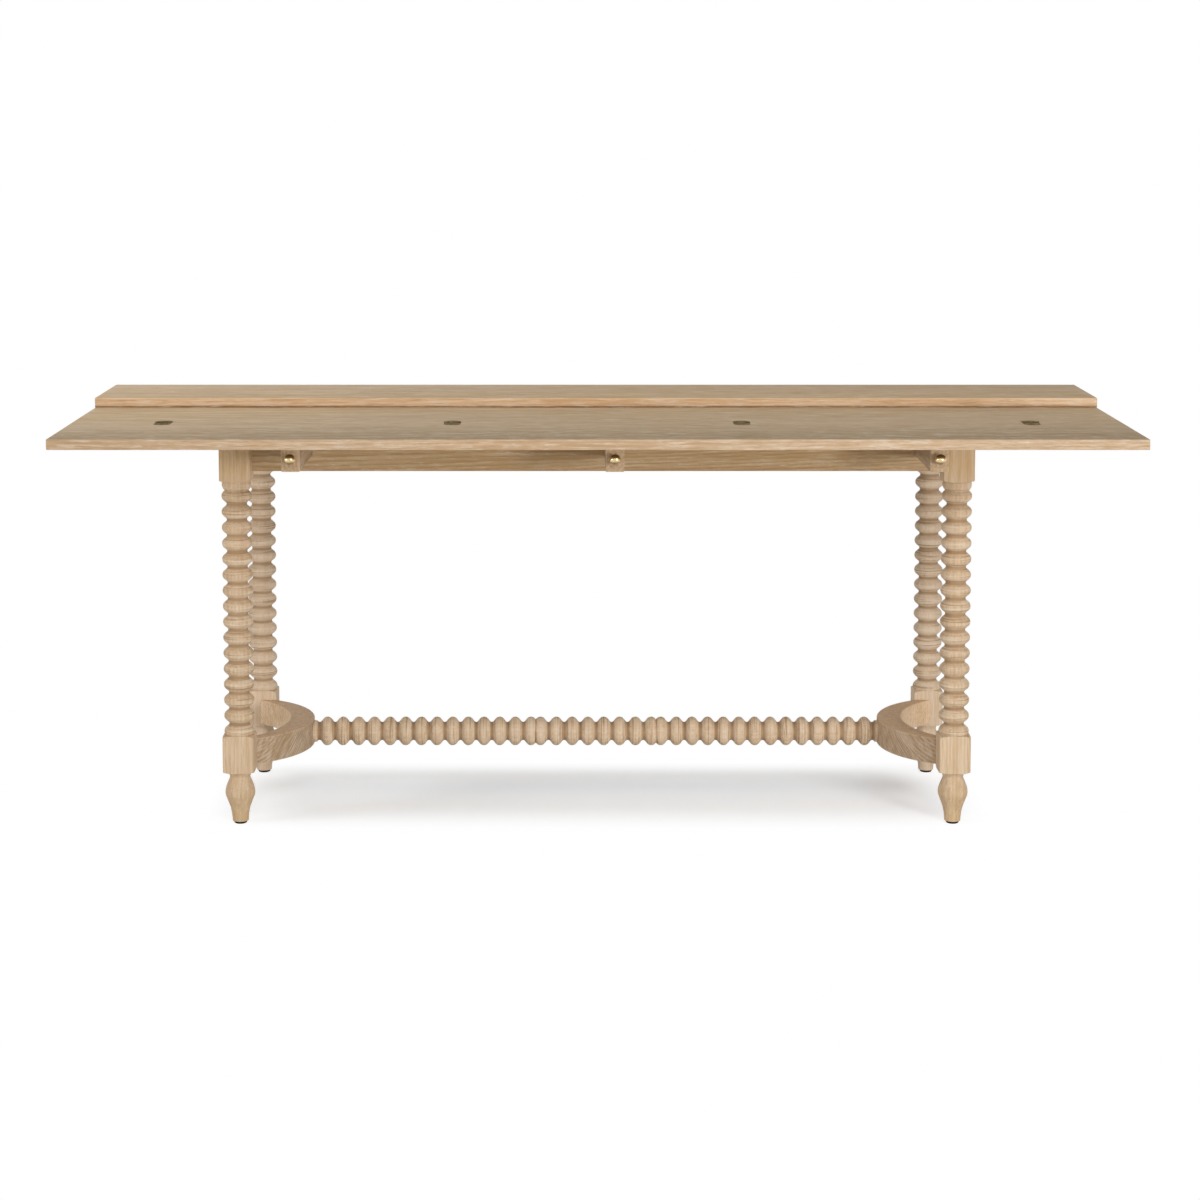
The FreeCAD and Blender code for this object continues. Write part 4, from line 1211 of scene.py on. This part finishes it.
class TABLE_OT_frame(bpy.types.Operator):
    """Finish the aprons, and square up the lopers and ease their edges"""

    bl_idname = "table.frame"
    bl_label = "Aprons and lopers"
    loper_ease = 0.0012

    def execute(self, context):
        long = oak("long_apron_oak", "X", (1.3, 0.2, 0.1), (-0.21, -0.78), **APRON)
        short = oak("end_apron_oak", "Y", (0.7, 0.3, 0.2), (-0.85, -0.99), **APRON)
        # The lopers' sideways faces carry painted shade
        sliding = oak(
            "loper_oak", "Y", (0.4, 0.6, 0.3), (-0.65, -1.05), (0.02, 0.02), (0.84, 0.82, 0.78),
            figure=0.8, mottle=0.5, patina=rubbed(0, 0.8),
        )
        dress(long, "front_apron", "rear_apron")
        dress(short, "left_end_apron", "right_end_apron")
        for name in LOPERS:
            node = name + "_loper"
            piece = timber(node, self.loper_ease)
            mark_eased_faces(piece)
            hand_over(piece, "eased_" + node, sliding, name + "_loper_slide", "frame_oak", node)
        return {"FINISHED"}


class TABLE_OT_inner_works(bpy.types.Operator):
    """Finish the pieces inside the frame"""

    bl_idname = "table.inner_works"
    bl_label = "Inner works"

    def execute(self, context):
        inner = oak("inner_oak", "Y", (0.2, 0.1, 0.4), (-0.3, -1.2), tint=(0.8, 0.78, 0.7))
        for name in LOPERS:
            dress(inner, name + "_bearer", name + "_guide_cleat", name + "_keeper", name + "_loper_stop_pin")
        dress(inner, "top_buttons", "stretcher_dowels")
        dress(plain_steel(), "keeper_screws", "panel_screws", "button_screws")
        return {"FINISHED"}


FLOOR_SIZE = 40.0
# Makes up for the warm light that the table throws on the floor
FLOOR_TINT = (0.94, 1.0, 1.065)
# Where the shadow under the table fades out, in metres from the middle
SHADOW_FRONT = (-0.13, 0.05)
SHADOW_REAR = (0.18, 0.38)
SHADOW_SIDE = (0.54, 0.74)
# Soft boxes: name, place, point faced, setting of the power, width and height
LAMPS = (
    ("key_box", (3.8, -5.3, 0.85), (0.0, -0.1, 0.6), "key_power", 1.3, 1.2),
    ("fill_box", (-5.2, -1.7, 1.1), (-0.2, 0.0, 0.4), "fill_power", 2.4, 2.0),
    ("front_box", (0.8, -4.4, 3.1), (0.0, 0.1, 0.3), "front_power", 3.0, 1.4),
    ("rear_box", (-1.6, 4.4, 1.5), (0.0, 0.2, 0.35), "rear_power", 2.6, 1.4),
    ("top_box", (-0.3, -0.5, 3.3), (0.0, 0.1, 0.7), "top_power", 3.4, 1.6),
)


class TABLE_OT_stage(bpy.types.Operator):
    """Lay the floor, hang the lights and set up the camera"""

    bl_idname = "table.stage"
    bl_label = "Stage"

    def floor(self, stage):
        """A wide pale floor that keeps the shadow under the table and turns white round it."""
        put_down()
        bpy.ops.mesh.primitive_plane_add(size=FLOOR_SIZE, location=(0, 0, 0))
        floor = in_hand()
        floor.name = "pale_floor"
        f = Finish("pale_floor")
        f.tree.nodes.remove(f.shader)
        seen = f.seen()
        kept = f.times(f.between(f.spot(1), *SHADOW_REAR, 1.0, 0.0), f.between(f.spot(1), *SHADOW_FRONT))
        kept = f.times(kept, f.between(f.sum("ABSOLUTE", f.spot(0)), *SHADOW_SIDE, 1.0, 0.0))
        speck = f.noise(f.place(), (30.0, 30.0, 30.0))
        pale = f.mix(f.between(speck, 0.3, 0.7, 0.0, 0.04), f.tones.floor, f.tones.speck)
        shown = f.mix(1.0, pale, [stage.floor_gain * part for part in FLOOR_TINT], "MULTIPLY")
        near = f.add("BsdfDiffuse", {"Color": f.mix(seen, pale, shown)})
        white = f.add("Emission", {"Color": WHITE, "Strength": 1.0})
        f.whiten(f.times(f.sum("SUBTRACT", 1.0, kept), seen), near, white, "Material Output")
        floor.data.materials.append(f.material)

    def world(self, stage):
        """Even light, and white where the camera or a gloss looks past the table."""
        world = bpy.data.worlds.new("even_light")
        world.use_nodes = True
        nodes = Nodes(world.node_tree)
        plain = nodes.tree.nodes["Background"]
        nodes.feed(plain.inputs["Color"], WHITE)
        nodes.feed(plain.inputs["Strength"], stage.world_light)
        white = nodes.add("Background", {"Color": WHITE, "Strength": 1.0})
        nodes.whiten(nodes.seen(), plain, white, "World Output")
        bpy.context.scene.world = world

    def lights(self, stage):
        """Soft boxes that each face a point."""
        for name, place, target, power_key, width, height in LAMPS:
            put_down()
            bpy.ops.object.light_add(type="AREA", location=place)
            lamp = in_hand()
            lamp.name = name
            lamp.data.shape = "RECTANGLE"
            lamp.data.size = width
            lamp.data.size_y = height
            lamp.data.energy = getattr(stage, power_key)
            lamp.rotation_euler = (Vector(target) - Vector(place)).to_track_quat("-Z", "Y").to_euler()

    def execute(self, context):
        stage = context.scene.table_stage
        context.scene.view_settings.view_transform = "Standard"
        self.floor(stage)
        self.world(stage)
        self.lights(stage)
        put_down()
        upright = math.pi / 2
        bpy.ops.object.camera_add(location=stage.camera_place, rotation=(upright - stage.pitch, 0, 0))
        camera = in_hand()
        camera.name = "camera"
        camera.data.lens = stage.lens
        camera.data.shift_x = stage.shift_x
        camera.data.shift_y = stage.shift_y
        context.scene.camera = camera
        return {"FINISHED"}


class TABLE_PT_maker(bpy.types.Panel):
    """Sizes, finishes and steps of the table"""

    bl_idname = "TABLE_PT_maker"
    bl_label = "Flip-top table"
    bl_space_type = "VIEW_3D"
    bl_region_type = "UI"
    bl_category = "Table"

    def draw(self, context):
        layout = self.layout
        for operator in OPERATORS:
            layout.operator(operator.bl_idname)
        for group, settings in SETTINGS.items():
            box = layout.box()
            box.label(text=settings.__doc__)
            for key in settings.__annotations__:
                box.prop(getattr(context.scene, group), key)


SETTINGS = {
    "table_turning": TurningSizes,
    "table_crescents": CrescentSizes,
    "table_hinges": HingeSizes,
    "table_knobs": KnobSizes,
    "table_tones": FinishTones,
    "table_stage": StageSizes,
}
OPERATORS = (
    TABLE_OT_stage,
    TABLE_OT_legs,
    TABLE_OT_glides,
    TABLE_OT_stretcher,
    TABLE_OT_crescents,
    TABLE_OT_knobs,
    TABLE_OT_hinges,
    TABLE_OT_boards,
    TABLE_OT_frame,
    TABLE_OT_inner_works,
)


def register():
    for cls in (*SETTINGS.values(), *OPERATORS, TABLE_PT_maker):
        bpy.utils.register_class(cls)
    for group, settings in SETTINGS.items():
        setattr(bpy.types.Scene, group, PointerProperty(type=settings))


def unregister():
    for group in SETTINGS:
        delattr(bpy.types.Scene, group)
    for cls in reversed((*SETTINGS.values(), *OPERATORS, TABLE_PT_maker)):
        bpy.utils.unregister_class(cls)


def main():
    register()
    for operator in OPERATORS:
        getattr(bpy.ops.table, operator.bl_idname.split(".")[1])()


if __name__ == "__main__":
    main()
